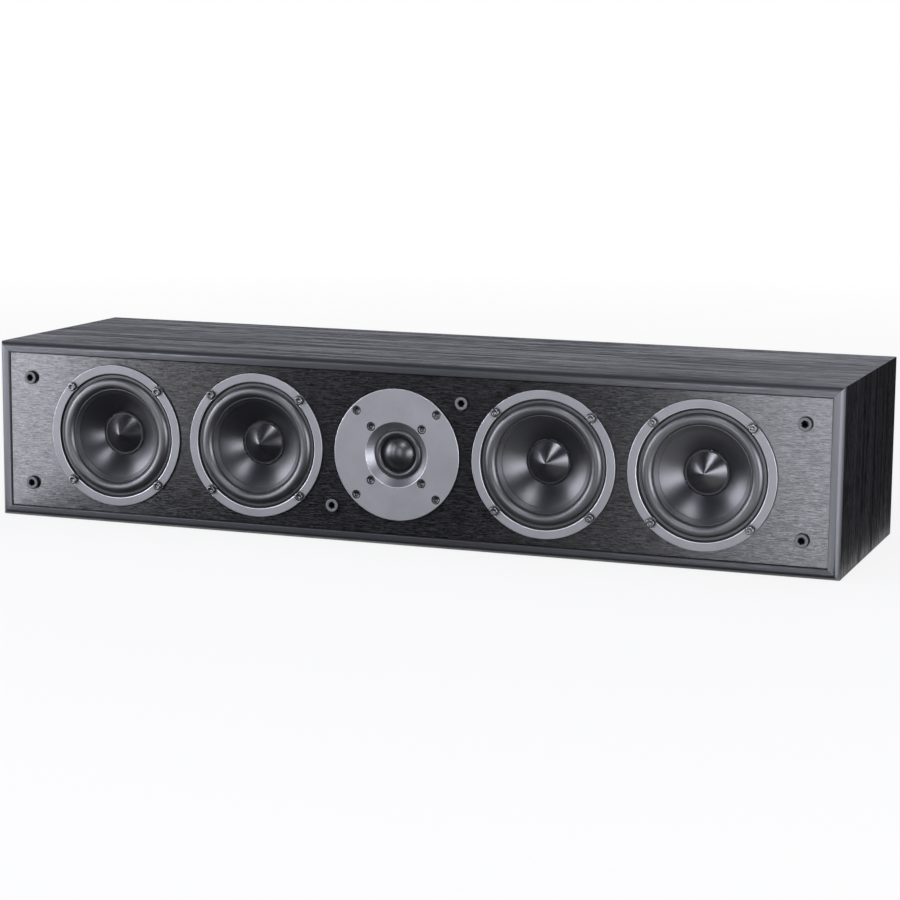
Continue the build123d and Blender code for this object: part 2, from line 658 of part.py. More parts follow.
def damping_wadding():
    """Sheet of wadding glued under the top wall."""
    top = HEIGHT - WALL
    end = REAR_INSIDE - WADDING_REAR_GAP
    return bar((-WADDING_LENGTH / 2, end - WADDING_DEPTH, top - WADDING_THICKNESS),
               (WADDING_LENGTH / 2, end, top))


def all_parts():
    """Every node's name with its solid, or its list of like solids."""
    parts = {
        "cabinet_sleeve": cabinet_sleeve(),
        "front_baffle": front_baffle(),
        "rear_panel": rear_panel(),
        "grille_sockets": [place * grille_socket() for place in socket_places()],
        "tweeter_faceplate": on_baffle(0) * tweeter_faceplate(),
        "tweeter_diaphragm": on_baffle(0) * tweeter_diaphragm(),
        "tweeter_voice_coil": on_baffle(0) * tweeter_voice_coil(),
        "tweeter_top_plate": on_baffle(0) * tweeter_top_plate(),
        "tweeter_magnet": on_baffle(0) * tweeter_magnet(),
        "tweeter_yoke": on_baffle(0) * tweeter_yoke(),
        "port_tube": on_rear(PORT_X) * port_tube(),
        "terminal_cup": terminal_cup(),
        "terminal_screws": [place * cup_screw() for place in cup_screw_places()],
        "binding_posts": [on_rear(x) * binding_post() for x in post_places()],
        "crossover_board": crossover_board(),
        "crossover_spacers": crossover_spacers(),
        "crossover_inductors": crossover_inductors(),
        "crossover_capacitors": crossover_capacitors(),
        "crossover_resistors": crossover_resistors(),
        "damping_wadding": damping_wadding(),
    }
    for colour, x in zip(("black", "red"), post_places()):
        parts[colour + "_washer"] = on_rear(x) * clamp_washer()
        parts[colour + "_terminal_cap"] = on_rear(x) * terminal_cap()
    plate_end = SCREW_REACH - SEAT_GAP
    motor_end = PLATE_INSET + DOME_SKIN + TWEETER_PLATE_THICKNESS - SEAT_GAP
    parts["tweeter_screws"] = [on_baffle(0) * place * plate_screw(0, plate_end)
                               for place in plate_screw_places()]
    parts["tweeter_motor_screws"] = [on_baffle(0) * place * plate_screw(0, motor_end)
                                     for place in motor_screw_places()]
    screws = [on_baffle(x) * place * socket_screw() for x in WOOFER_PLACES
              for place in around(WOOFER_SCREW_CIRCLE, QUARTER_TURNS)]
    parts["woofer_screws"] = screws
    parts["woofer_top_plates"] = [on_baffle(x) * top_plate() for x in WOOFER_PLACES]
    parts["woofer_magnets"] = [on_baffle(x) * magnet() for x in WOOFER_PLACES]
    parts["woofer_yokes"] = [on_baffle(x) * yoke() for x in WOOFER_PLACES]
    makers = (trim_ring, basket, surround, cone, dust_cap, voice_coil, spider)
    for number, x in enumerate(WOOFER_PLACES, start=1):
        for maker in makers:
            parts[f"woofer_{number}_{maker.__name__}"] = on_baffle(x) * maker()
    return parts


def main():
    """Write one STEP file for each node."""
    os.makedirs("parts", exist_ok=True)
    for name, shape in all_parts().items():
        if isinstance(shape, list):
            shape = Compound(shape)
        export_step(shape, f"parts/{name}.step")


main()
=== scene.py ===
import json
from math import atan2, cos, hypot, pi, radians, sin, sqrt, tan

import bpy
from bpy.props import FloatProperty, FloatVectorProperty, IntProperty, PointerProperty
from bpy.types import Operator, Panel, PropertyGroup
from mathutils import Matrix, Vector
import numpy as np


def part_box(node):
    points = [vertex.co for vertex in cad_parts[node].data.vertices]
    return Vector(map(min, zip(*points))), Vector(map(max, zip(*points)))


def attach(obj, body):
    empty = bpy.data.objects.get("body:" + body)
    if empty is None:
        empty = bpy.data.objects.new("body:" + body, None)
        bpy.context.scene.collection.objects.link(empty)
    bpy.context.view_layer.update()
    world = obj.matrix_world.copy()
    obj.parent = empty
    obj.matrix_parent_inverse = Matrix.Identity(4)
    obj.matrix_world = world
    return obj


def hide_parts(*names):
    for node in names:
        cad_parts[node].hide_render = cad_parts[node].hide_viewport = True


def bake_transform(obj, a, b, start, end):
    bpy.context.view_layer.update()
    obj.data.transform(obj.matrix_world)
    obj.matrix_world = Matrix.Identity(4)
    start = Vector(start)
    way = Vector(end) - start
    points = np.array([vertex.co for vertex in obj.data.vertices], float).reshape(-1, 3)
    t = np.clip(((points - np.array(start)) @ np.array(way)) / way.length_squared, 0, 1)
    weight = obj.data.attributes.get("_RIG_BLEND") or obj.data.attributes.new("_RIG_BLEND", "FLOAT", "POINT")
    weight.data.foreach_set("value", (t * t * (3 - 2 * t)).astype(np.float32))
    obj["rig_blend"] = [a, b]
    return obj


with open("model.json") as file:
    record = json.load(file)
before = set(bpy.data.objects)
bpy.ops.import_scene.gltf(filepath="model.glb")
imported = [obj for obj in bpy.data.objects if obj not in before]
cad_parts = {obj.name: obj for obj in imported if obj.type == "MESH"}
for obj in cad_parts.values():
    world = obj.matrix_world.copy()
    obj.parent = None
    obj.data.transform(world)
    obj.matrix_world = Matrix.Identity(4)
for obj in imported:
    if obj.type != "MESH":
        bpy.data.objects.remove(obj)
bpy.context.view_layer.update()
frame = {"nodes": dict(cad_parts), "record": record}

bl_info = {
    "name": "Center Channel Speaker",
    "version": (1, 0, 0),
    "blender": (4, 5, 0),
    "location": "3D View > Sidebar > Speaker",
    "description": "Dresses the packed center channel speaker with modelled pieces and finishes",
    "category": "Object",
}

NODES = frame["nodes"]
SLEEVE_LOW, SLEEVE_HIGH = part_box("cabinet_sleeve")
BAFFLE_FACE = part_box("front_baffle")[0].y
REAR_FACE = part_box("rear_panel")[1].y
MID_HEIGHT = (SLEEVE_LOW.z + SLEEVE_HIGH.z) / 2
CENTRE = Vector((0, BAFFLE_FACE, MID_HEIGHT))
WOOFERS = (1, 2, 3, 4)
QUARTER_TURNS = (45, 135, 225, 315)
ALONG_Y = (pi / 2, 0, 0)
SAME_POINT = 1e-7
MERGED = 0.000002
MADE = {}


# Settings


def length(name, description, default):
    """Distance setting in metres."""
    return FloatProperty(name=name, description=description, default=default,
                         min=0, precision=5, subtype='DISTANCE', unit='LENGTH')


def colour(name, description, default):
    """Colour setting, as linear red, green and blue."""
    return FloatVectorProperty(name=name, description=description, default=default,
                               size=3, min=0, max=1, subtype='COLOR')


class CabinetSizes(PropertyGroup):
    """Sizes of the sleeve and its two panels"""
    wall: length("Wall", "Thickness of the sleeve's boards", 0.012)
    lip: length("Lip", "Width of the front edge round the baffle", 0.0082)
    lip_round: length("Lip round", "Radius of the outer front edge", 0.0042)
    lip_bevel: length("Lip bevel", "Bevel on the mouth of the lip", 0.0009)
    edge: length("Edge", "Softening of the other board edges", 0.0005)
    baffle_thickness: length("Baffle", "Thickness of the front baffle", 0.016)
    rear_thickness: length("Rear panel", "Thickness of the rear panel", 0.009)


class WooferSizes(PropertyGroup):
    """Sizes of one woofer, with depths counted from the face of the baffle"""
    ring_outer: length("Ring radius", "Outer radius of the trim ring", 0.05425)
    ring_inner: length("Ring bore", "Inner radius of the trim ring", 0.0475)
    ring_proud: length("Ring thickness", "How far the trim ring stands out", 0.002)
    ring_round: length("Ring round", "Rounding of the trim ring's outer front edge", 0.0005)
    ring_mouth: length("Ring mouth", "Rounding of the trim ring's inner front edge", 0.001)
    screw_circle: length("Screw circle", "Radius of the circle of the screws", 0.051)
    screw_head: length("Screw head", "Radius of a screw head", 0.0031)
    screw_height: length("Screw height", "Height of a screw head on the ring", 0.003)
    well: length("Screw well", "Radius of the well round a screw head", 0.0038)
    well_depth: length("Well depth", "Depth of the well round a screw head", 0.0012)
    hexagon: length("Hexagon", "Corner radius of the hexagon socket", 0.0016)
    rim: length("Surround rim", "Outer radius of the rubber surround", 0.0463)
    roll_outer: length("Roll outside", "Outer radius of the half-roll", 0.0446)
    roll_inner: length("Roll inside", "Inner radius of the half-roll", 0.0358)
    roll_rise: length("Roll rise", "Height of the half-roll", 0.003)
    skin: length("Rubber", "Thickness of the surround", 0.0006)
    lip_inner: length("Surround lip", "Inner radius of the lip glued to the cone", 0.0322)
    lip_drop: length("Lip drop", "How far the surround's lip slopes in with the cone", 0.0019)
    cone_rim: length("Cone rim", "Outer radius of the cone", 0.036)
    cone_depth: length("Cone depth", "Depth of the cone down to its land", 0.0128)
    cone_bow: length("Cone bow", "Flare of the cone's side", 0.0006)
    cone_skin: length("Cone skin", "Thickness of the cone", 0.001)
    land: length("Land", "Radius of the flat land round the dust cap", 0.0170)
    cap_radius: length("Cap radius", "Radius of the dust cap", 0.0148)
    cap_height: length("Cap height", "Height of the pointed dust cap", 0.0086)
    cap_bow: length("Cap bow", "Fullness of the cap's side", 0.0003)
    bead: length("Glue bead", "Radius of the bead round the land", 0.0006)


class TweeterSizes(PropertyGroup):
    """Sizes of the tweeter, with depths counted from the face of the baffle"""
    plate: length("Plate radius", "Radius of the faceplate", 0.04905)
    plate_proud: length("Plate proud", "How far the faceplate stands out", 0.002)
    plate_inset: length("Plate inset", "How far the faceplate is sunk in", 0.003)
    plate_round: length("Plate round", "Rounding of the faceplate's edge", 0.0006)
    horn_mouth: length("Horn mouth", "Radius of the horn at the face", 0.0243)
    horn_throat: length("Horn throat", "Radius of the horn at the dome", 0.01875)
    outer_circle: length("Outer screws", "Radius of the outer screw circle", 0.0443)
    inner_circle: length("Inner screws", "Radius of the inner screw circle", 0.0282)
    screw_head: length("Screw head", "Radius of a screw head", 0.003)
    dome: length("Dome radius", "Radius of the dome", 0.0121)
    dome_rise: length("Dome rise", "Height of the dome", 0.0054)
    groove: length("Groove", "Depth of the groove between dome and roll", 0.0004)
    roll_inner: length("Roll inside", "Inner radius of the cloth roll", 0.0135)
    roll_outer: length("Roll radius", "Outer radius of the cloth roll", 0.0181)
    roll_rise: length("Roll rise", "Height of the cloth roll", 0.0018)
    rim: length("Rim", "Radius of the rim clamped behind the plate", 0.023)
    skin: length("Cloth", "Thickness of the diaphragm", 0.0006)


class FittingSizes(PropertyGroup):
    """Sizes of the grille sockets, the port and the terminals"""
    socket: length("Socket radius", "Radius of a grille socket", 0.0051)
    socket_proud: length("Socket proud", "How far a socket stands out", 0.0032)
    socket_round: length("Socket round", "Rounding of a socket's edge", 0.0009)
    socket_bore: length("Socket bore", "Radius of the star-shaped mouth", 0.0029)
    socket_corner_x: length("Corner sockets", "Distance of the corner sockets from the middle", 0.303)
    socket_middle_x: length("Middle sockets", "Distance of the middle sockets from the middle", 0.0507)
    socket_spread: length("Socket spread", "Height of the sockets above or below the middle", 0.041)
    port_bore: length("Port bore", "Radius of the port", 0.025)
    port_flare: length("Port flare", "Radius of the port's rounded mouth", 0.009)
    port_flange: length("Port flange", "Radius of the port's flange", 0.041)
    port_length: length("Port length", "Length of the port inside the cabinet", 0.105)
    cap_flutes: IntProperty(name="Cap flutes", description="Flutes round a terminal cap",
                            default=10, min=4, max=24)


class FinishColours(PropertyGroup):
    """Colours of the finishes"""
    ash_foil: colour("Ash foil", "Black wood-grain foil of the sleeve", (0.009, 0.009, 0.0098))
    brushed_foil: colour("Brushed foil", "Black brushed foil of the baffle", (0.010, 0.010, 0.0108))
    silver: colour("Silver", "Satin silver of the rings and the faceplate", (0.235, 0.235, 0.239))
    rubber: colour("Rubber", "Rubber of the surrounds", (0.012, 0.0121, 0.0145))
    cone: colour("Cone", "Polymer of the cones", (0.009, 0.0092, 0.0118))
    cap: colour("Cap", "Polymer of the dust caps", (0.010, 0.0101, 0.0125))
    cloth: colour("Cloth", "Coated cloth of the tweeter", (0.012, 0.012, 0.014))
    socket: colour("Socket", "Rubber of the grille sockets", (0.11, 0.11, 0.115))
    steel: colour("Steel", "Blackened steel of the screws", (0.21, 0.21, 0.215))
    dull_steel: colour("Dull steel", "Darker steel of the tweeter's screws", (0.11, 0.11, 0.113))
    board: colour("Rear board", "Black rear panel", (0.013, 0.013, 0.014))
    black_plastic: colour("Black plastic", "Moulded black plastic", (0.014, 0.014, 0.015))
    red_plastic: colour("Red plastic", "Moulded red plastic", (0.42, 0.018, 0.016))


class SpeakerSettings(PropertyGroup):
    """All settings of the speaker"""
    cabinet: PointerProperty(type=CabinetSizes, name="Cabinet", description="Cabinet sizes")
    woofer: PointerProperty(type=WooferSizes, name="Woofer", description="Woofer sizes")
    tweeter: PointerProperty(type=TweeterSizes, name="Tweeter", description="Tweeter sizes")
    fittings: PointerProperty(type=FittingSizes, name="Fittings", description="Fitting sizes")
    colours: PointerProperty(type=FinishColours, name="Colours", description="Finish colours")


# Outlines of turned pieces, as (radius, depth) points


def arc(start, through, end, steps):
    """Points of the arc through three points, without its first point."""
    (ax, ay), (bx, by), (cx, cy) = start, through, end
    d = 2 * (ax * (by - cy) + bx * (cy - ay) + cx * (ay - by))
    a, b, c = ax * ax + ay * ay, bx * bx + by * by, cx * cx + cy * cy
    ux = (a * (by - cy) + b * (cy - ay) + c * (ay - by)) / d
    uy = (a * (cx - bx) + b * (ax - cx) + c * (bx - ax)) / d
    radius = hypot(ax - ux, ay - uy)
    first = atan2(ay - uy, ax - ux)
    halfway = (atan2(by - uy, bx - ux) - first) % (2 * pi)
    sweep = (atan2(cy - uy, cx - ux) - first) % (2 * pi)
    if halfway > sweep:
        sweep -= 2 * pi
    angles = [first + sweep * n / steps for n in range(1, steps + 1)]
    return [(ux + radius * cos(t), uy + radius * sin(t)) for t in angles]


def bow(start, control, end, steps):
    """Points of a curve drawn towards one control point, without its first point."""
    points = []
    for n in range(1, steps + 1):
        t = n / steps
        a, b, c = (1 - t) ** 2, 2 * t * (1 - t), t * t
        points.append((a * start[0] + b * control[0] + c * end[0],
                       a * start[1] + b * control[1] + c * end[1]))
    return points


def rounded(before, corner, after, radius, steps=4):
    """Points that round one corner of an outline."""
    point = Vector(corner)
    back = (Vector(before) - point).normalized()
    on = (Vector(after) - point).normalized()
    half = back.angle(on) / 2
    reach = radius / tan(half)
    start = point + back * reach
    end = point + on * reach
    centre = point + (back + on).normalized() * (radius / sin(half))
    through = centre + (point - centre).normalized() * radius
    return [tuple(start)] + arc(tuple(start), tuple(through), tuple(end), steps)


# Modelling by hand


def leave_all():
    """Goes to object mode with nothing selected."""
    if bpy.context.mode != 'OBJECT':
        bpy.ops.object.mode_set(mode='OBJECT')
    bpy.ops.object.select_all(action='DESELECT')


def pick(*pieces):
    """Selects these pieces alone, the first one active."""
    leave_all()
    for piece in pieces:
        piece.select_set(True)
    bpy.context.view_layer.objects.active = pieces[0]


def named(piece, name):
    """Gives a piece and its mesh their name."""
    piece.name = name
    piece.data.name = name
    return piece


def smooth(piece, angle=35):
    """Shades a piece smooth, apart from its sharp edges."""
    pick(piece)
    bpy.ops.object.shade_smooth_by_angle(angle=radians(angle))
    level = piece.modifiers.new("level", 'WEIGHTED_NORMAL')
    level.keep_sharp = True
    bpy.ops.object.modifier_apply(modifier=level.name)
    return piece


def turned(name, outline, steps=128, angle=35):
    """Closed outline drawn point by point and spun about Y."""
    leave_all()
    bpy.ops.mesh.primitive_plane_add(size=0.01, location=(0, 0, 0))
    piece = named(bpy.context.object, name)
    bpy.ops.object.mode_set(mode='EDIT')
    bpy.ops.mesh.select_mode(type='VERT')
    bpy.ops.mesh.select_all(action='SELECT')
    bpy.ops.mesh.merge(type='CENTER')
    bpy.ops.transform.translate(value=(*outline[0], 0))
    loop = outline + [outline[0]]
    for a, b in zip(loop, loop[1:]):
        if hypot(b[0] - a[0], b[1] - a[1]) > SAME_POINT:
            step = (b[0] - a[0], b[1] - a[1], 0)
            bpy.ops.mesh.extrude_region_move(TRANSFORM_OT_translate={"value": step})
    bpy.ops.mesh.select_all(action='SELECT')
    bpy.ops.mesh.spin(steps=steps, angle=2 * pi, center=(0, 0, 0), axis=(0, 1, 0))
    bpy.ops.mesh.select_all(action='SELECT')
    bpy.ops.mesh.remove_doubles(threshold=MERGED)
    bpy.ops.mesh.dissolve_degenerate(threshold=MERGED / 2)
    bpy.ops.mesh.select_all(action='SELECT')
    bpy.ops.mesh.normals_make_consistent(inside=False)
    return smooth(piece, angle)


def choose_faces(piece, test):
    """Selects the faces whose centre and normal pass a test, and stays in edit mode."""
    bpy.ops.object.mode_set(mode='EDIT')
    bpy.ops.mesh.select_mode(type='FACE')
    bpy.ops.mesh.select_all(action='DESELECT')
    bpy.ops.object.mode_set(mode='OBJECT')
    for face in piece.data.polygons:
        face.select = test(face.center, face.normal)
    bpy.ops.object.mode_set(mode='EDIT')


def end_faces(*ways):
    """Test for the face in the middle of the front (-1) or of the rear (1)."""
    near = 0.01
    return lambda c, n: (any(way * n.y > 0.999 for way in ways)
                         and abs(c.x) < near and abs(c.z - MID_HEIGHT) < near)


def cut(piece, cutter):
    """Takes the cutter away from the piece and deletes it."""
    pick(piece)
    take = piece.modifiers.new("cut", 'BOOLEAN')
    take.operation = 'DIFFERENCE'
    take.solver = 'EXACT'
    take.object = cutter
    bpy.ops.object.modifier_apply(modifier=take.name)
    bpy.data.objects.remove(cutter)
    return piece


def rod(vertices, radius, depth, place=(0, 0, 0)):
    """Cylinder along Y."""
    leave_all()
    bpy.ops.mesh.primitive_cylinder_add(vertices=vertices, radius=radius, depth=depth, location=place,
                                        rotation=ALONG_Y)
    return bpy.context.object


def moved(piece, place):
    """Moves a piece to its place and leaves its origin at the world's."""
    pick(piece)
    bpy.ops.transform.translate(value=place)
    bpy.ops.object.transform_apply()
    return piece


def copied(piece, name, place, turn=0.0):
    """Copy with its own mesh, turned about Y and moved to its place."""
    pick(piece)
    bpy.ops.object.duplicate(linked=False)
    copy = named(bpy.context.object, name)
    if turn:
        bpy.ops.transform.rotate(value=turn, orient_axis='Y', center_override=(0, 0, 0))
    return moved(copy, place)


def repeated(piece, name, places, turns):
    """One piece from copies of another, each at its place and with its turn."""
    copies = [copied(piece, "copy", place, turn) for place, turn in zip(places, turns)]
    pick(*copies)
    bpy.ops.object.join()
    return named(bpy.context.object, name)


def ring_places(radius, angles=QUARTER_TURNS):
    """Places on a circle about the Y axis."""
    return [Vector((radius * cos(radians(a)), 0, radius * sin(radians(a)))) for a in angles]


def keep_local(piece):
    """Stores the coordinates about the piece's own axis, for patterns that go round it."""
    layer = piece.data.attributes.new("local", 'FLOAT_VECTOR', 'POINT')
    for vertex, value in zip(piece.data.vertices, layer.data):
        value.vector = vertex.co
    return piece


def middle(node):
    """Centre of a CAD node's box."""
    low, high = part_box(node)
    return (low + high) / 2


def driver_place(number):
    """Point of a woofer's axis on the face of the baffle."""
    at = middle(f"woofer_{number}_trim_ring")
    return Vector((at.x, BAFFLE_FACE, at.z))


def dress(piece, body, slot, *nodes, look=None):
    """Gives a piece its body, its slot with that finish, and the nodes that it stands for."""
    piece.data.materials.clear()
    piece.data.materials.append(finish(look or slot))
    if body:
        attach(piece, body)
    if nodes:
        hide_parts(*nodes)


def to_woofers(part, name, body, slot, node=None, look=None, turn=0.0):
    """Copies a part to each woofer, dresses the copies and deletes the part."""
    for n in WOOFERS:
        piece = copied(part, f"woofer_{n}_{name}", driver_place(n), turn * n)
        nodes = [f"woofer_{n}_{node}"] if node else []
        dress(piece, body.format(n), slot, *nodes, look=look)
    bpy.data.objects.remove(part)


def stretch_between(piece, axis, inner, outer, moving):
    """Lets a surround follow the cabinet at its rim and the moving body inside, by radius."""
    at = Vector(axis)
    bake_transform(piece, "cabinet", moving, at + Vector((outer, 0, 0)), at + Vector((inner, 0, 0)))
    weights = piece.data.attributes["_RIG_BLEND"]
    for vertex, value in zip(piece.data.vertices, weights.data):
        radius = hypot(vertex.co.x - at.x, vertex.co.z - at.z)
        t = min(max((outer - radius) / (outer - inner), 0), 1)
        value.value = t * t * (3 - 2 * t)


# Finishes


class Pattern:
    """Number that varies over a surface, with plain arithmetic between its nodes."""

    def __init__(self, nodes, socket):
        self.nodes = nodes
        self.socket = socket

    def __add__(self, other):
        return self.nodes.math('ADD', self, other)

    def __sub__(self, other):
        return self.nodes.math('SUBTRACT', self, other)

    def __rsub__(self, other):
        return self.nodes.math('SUBTRACT', other, self)

    def __mul__(self, other):
        return self.nodes.math('MULTIPLY', self, other)

    def __abs__(self):
        return self.nodes.math('ABSOLUTE', self)

    def above(self, limit):
        """1 above the limit and 0 below it."""
        return self.nodes.math('GREATER_THAN', self, limit)

    def below(self, limit):
        """1 below the limit and 0 above it."""
        return self.nodes.math('LESS_THAN', self, limit)

    def spread(self, low, high, to_low, to_high):
        """Mapped from one range to another and held inside it."""
        node = self.nodes.node("MapRange", clamp=True)
        for source, target in zip((self, low, high, to_low, to_high), node.inputs):
            self.nodes.link(source, target)
        return Pattern(self.nodes, node.outputs["Result"])


class Nodes:
    """Node tree, with short calls for the nodes that the finishes and the world share."""

    def __init__(self, tree):
        self.tree = tree

    def node(self, kind, **values):
        """Adds a node with its settings."""
        node = self.tree.nodes.new("ShaderNode" + kind)
        for key, value in values.items():
            setattr(node, key, value)
        return node

    def link(self, source, target):
        """Joins a pattern or a socket to a target, or sets the target to a number or a colour."""
        if isinstance(source, Pattern):
            source = source.socket
        if isinstance(source, (int, float)):
            target.default_value = source
        elif isinstance(source, tuple):
            target.default_value = (*source, 1)
        else:
            self.tree.links.new(source, target)

    def math(self, operation, a, b=0.0):
        """Pattern from a math node."""
        node = self.node("Math", operation=operation)
        self.link(a, node.inputs[0])
        self.link(b, node.inputs[1])
        return Pattern(self, node.outputs["Value"])

    def tint(self, value, low, high, first, second):
        """Colour between two colours as a pattern goes from low to high."""
        node = self.node("Mix", data_type='RGBA')
        self.link(value.spread(low, high, 0, 1), node.inputs["Factor"])
        self.link(first, node.inputs[6])
        self.link(second, node.inputs[7])
        return node.outputs[2]

    def rays(self):
        """Whether a ray comes from the camera, from a mirror, or from either or through glass."""
        path = self.node("LightPath").outputs
        camera, glossy, through = (Pattern(self, path[f"Is {kind} Ray"])
                                   for kind in ("Camera", "Glossy", "Transmission"))
        return camera, glossy, self.math('MAXIMUM', self.math('MAXIMUM', camera, glossy), through)


class Finish(Nodes):
    """Procedural material over one base colour."""

    def __init__(self, name, base, **sockets):
        self.material = bpy.data.materials.new(name)
        self.material.use_nodes = True
        super().__init__(self.material.node_tree)
        self.surface = self.tree.nodes["Principled BSDF"]
        self.base = tuple(base)
        inputs = {socket.name.lower(): socket for socket in self.surface.inputs}
        inputs["base color"].default_value = (*self.base, 1)
        for name, value in sockets.items():
            inputs[name.replace("_", " ")].default_value = value

    def drive(self, socket, source):
        """Joins a pattern to a socket of the surface."""
        self.link(source, self.surface.inputs[socket])

    def place(self, scale=(1, 1, 1), local=False):
        """Coordinates in metres times a scale, of the object or of the piece's own axis."""
        if local:
            source = self.node("Attribute", attribute_name="local").outputs["Vector"]
        else:
            source = self.node("TexCoord").outputs["Object"]
        mapping = self.node("Mapping")
        mapping.inputs["Scale"].default_value = scale
        self.link(source, mapping.inputs["Vector"])
        return mapping.outputs["Vector"]

    def parts(self, vector):
        """X, Y and Z of a vector."""
        split = self.node("SeparateXYZ")
        self.link(vector, split.inputs["Vector"])
        return [Pattern(self, socket) for socket in split.outputs]

    def vector(self, x, y, z):
        """Vector of three numbers."""
        join = self.node("CombineXYZ")
        for source, target in zip((x, y, z), join.inputs):
            self.link(source, target)
        return join.outputs["Vector"]

    def polar(self):
        """Radius and angle about the piece's own axis."""
        x, _, z = self.parts(self.place(local=True))
        return self.math('SQRT', x * x + z * z), self.math('ARCTAN2', z, x)

    def noise(self, scale=1.0, detail=2.0, roughness=0.5, warp=0.0, at=None):
        """Noise from 0 to 1 over a vector, or over the object's own coordinates."""
        node = self.node("TexNoise")
        self.link(at or self.place(), node.inputs["Vector"])
        values = {"Scale": scale, "Detail": detail, "Roughness": roughness, "Distortion": warp}
        for name, value in values.items():
            node.inputs[name].default_value = value
        return Pattern(self, node.outputs["Fac"])

    def shades(self, value, *stops):
        """Colour ramp over the base colour: pairs of a place and a factor of the base."""
        node = self.node("ValToRGB")
        ramp = node.color_ramp
        while len(ramp.elements) < len(stops):
            ramp.elements.new(0.5)
        for element, (place, factor) in zip(ramp.elements, stops):
            element.position = place
            element.color = (*[min(c * factor, 1) for c in self.base], 1)
        self.link(value, node.inputs["Fac"])
        return node.outputs["Color"]

    def bump(self, height, depth, strength):
        """Bump of a height pattern, depth in metres, as the last step of a finish."""
        node = self.node("Bump")
        node.inputs["Strength"].default_value = strength
        node.inputs["Distance"].default_value = depth
        self.link(height, node.inputs["Height"])
        self.drive("Normal", node.outputs["Normal"])
        return self.material

    def mixed(self, factor, first, second):
        """Mix of two shaders, shown as the surface."""
        node = self.node("MixShader")
        for source, target in zip((factor, first, second), node.inputs):
            self.link(source, target)
        self.link(node.outputs["Shader"], self.tree.nodes["Material Output"].inputs["Surface"])
        return node.outputs["Shader"]


def colours():
    """The colour settings."""
    return bpy.context.scene.speaker.colours


def ash_foil():
    """Black wood-grain foil: streaks and short pores along each board, seams at the lip's mitres, and
    painted shade that shifts the grain of the side boards darker.
    """
    f = Finish("black_ash_foil", colours().ash_foil, specular_ior_level=0.6, ior=1.85, anisotropic=0.5,
               specular_tint=(0.95, 0.96, 1.0, 1))
    x, y, z = f.parts(f.place())
    edge = SLEEVE_LOW.y
    span = SLEEVE_HIGH - SLEEVE_LOW
    corner = (abs(x) - span.x / 2) - (abs(z - MID_HEIGHT) - span.z / 2)
    side = corner.above(0.0)
    flat = 1.0 - side
    brush = f.node("Mix", data_type='VECTOR')
    f.link(side, brush.inputs["Factor"])
    for axis, target in (('X', brush.inputs[4]), ('Z', brush.inputs[5])):
        f.link(f.node("Tangent", direction_type='RADIAL', axis=axis).outputs["Tangent"], target)
    f.drive("Tangent", brush.outputs[1])
    along = x * flat + z * side
    across = y + (z * flat + x * side) + side * 3.1

    def grown(lengthwise, crosswise, detail, roughness, warp=0.0):
        """Noise drawn out along the boards."""
        at = f.vector(along * lengthwise, across * crosswise, side)
        return f.noise(1.0, detail, roughness, warp, at)

    streaks = grown(7.0, 330.0, 4.0, 0.65, 0.15)
    pores = grown(60.0, 1500.0, 3.0, 0.65)
    bands = grown(2.2, 75.0, 2.0, 0.5)
    mixed = streaks * 0.4 + pores * 0.43 + bands * 0.17
    # The side boards get a stronger grain (1.7). As painted shade, their grain is also shifted darker (0.485
    # instead of 0.5), so the sides render darker.
    strength = y.spread(edge + 0.004, edge + 0.0045, 0.3, 1.0) * side.spread(0, 1, 1.0, 1.7)
    grain = (mixed - 0.5) * strength + side.spread(0, 1, 0.5, 0.485)
    wood = f.shades(grain, (0.40, 0.15), (0.47, 0.6), (0.54, 1.5), (0.62, 3.0))
    seam = abs(corner).below(0.0003) * y.below(edge + 0.006)
    f.drive("Base Color", f.tint(seam, 0, 1, wood, (0.002, 0.002, 0.002)))
    lip = y.below(edge + bpy.context.scene.speaker.cabinet.lip_round)
    f.drive("Roughness", f.math('MAXIMUM', grain.spread(0.45, 0.55, 0.52, 0.27), lip * side * 0.52))
    shine = lip * side.spread(0, 1, 0.5, 1.0)
    f.drive("Specular IOR Level", f.math('MAXIMUM', grain.spread(0.43, 0.54, 0.04, 0.8), shine))
    return f.bump(grain, 0.00012, 0.6)


def brushed_foil():
    """Black brushed foil: fine short scratches along X, which spread light up and down."""
    f = Finish("brushed_foil", colours().brushed_foil, specular_ior_level=1.0, ior=1.73, anisotropic=0.88)
    turn = f.node("Tangent", direction_type='RADIAL', axis='X')
    f.drive("Tangent", turn.outputs["Tangent"])
    long = f.noise(1.0, 3.0, 0.6, at=f.place((95, 1800, 1800)))
    short = f.noise(1.0, 2.0, 0.6, at=f.place((300, 3100, 3100)))
    scratches = long * 0.5 + short * 0.5
    f.drive("Base Color", f.shades(scratches, (0.42, 0.1), (0.5, 1.0), (0.58, 2.8)))
    f.drive("Roughness", scratches.spread(0.40, 0.60, 0.18, 0.27))
    f.drive("Specular IOR Level", scratches.spread(0.42, 0.58, 0.45, 1.0))
    return f.bump(scratches, 0.000006, 0.3)


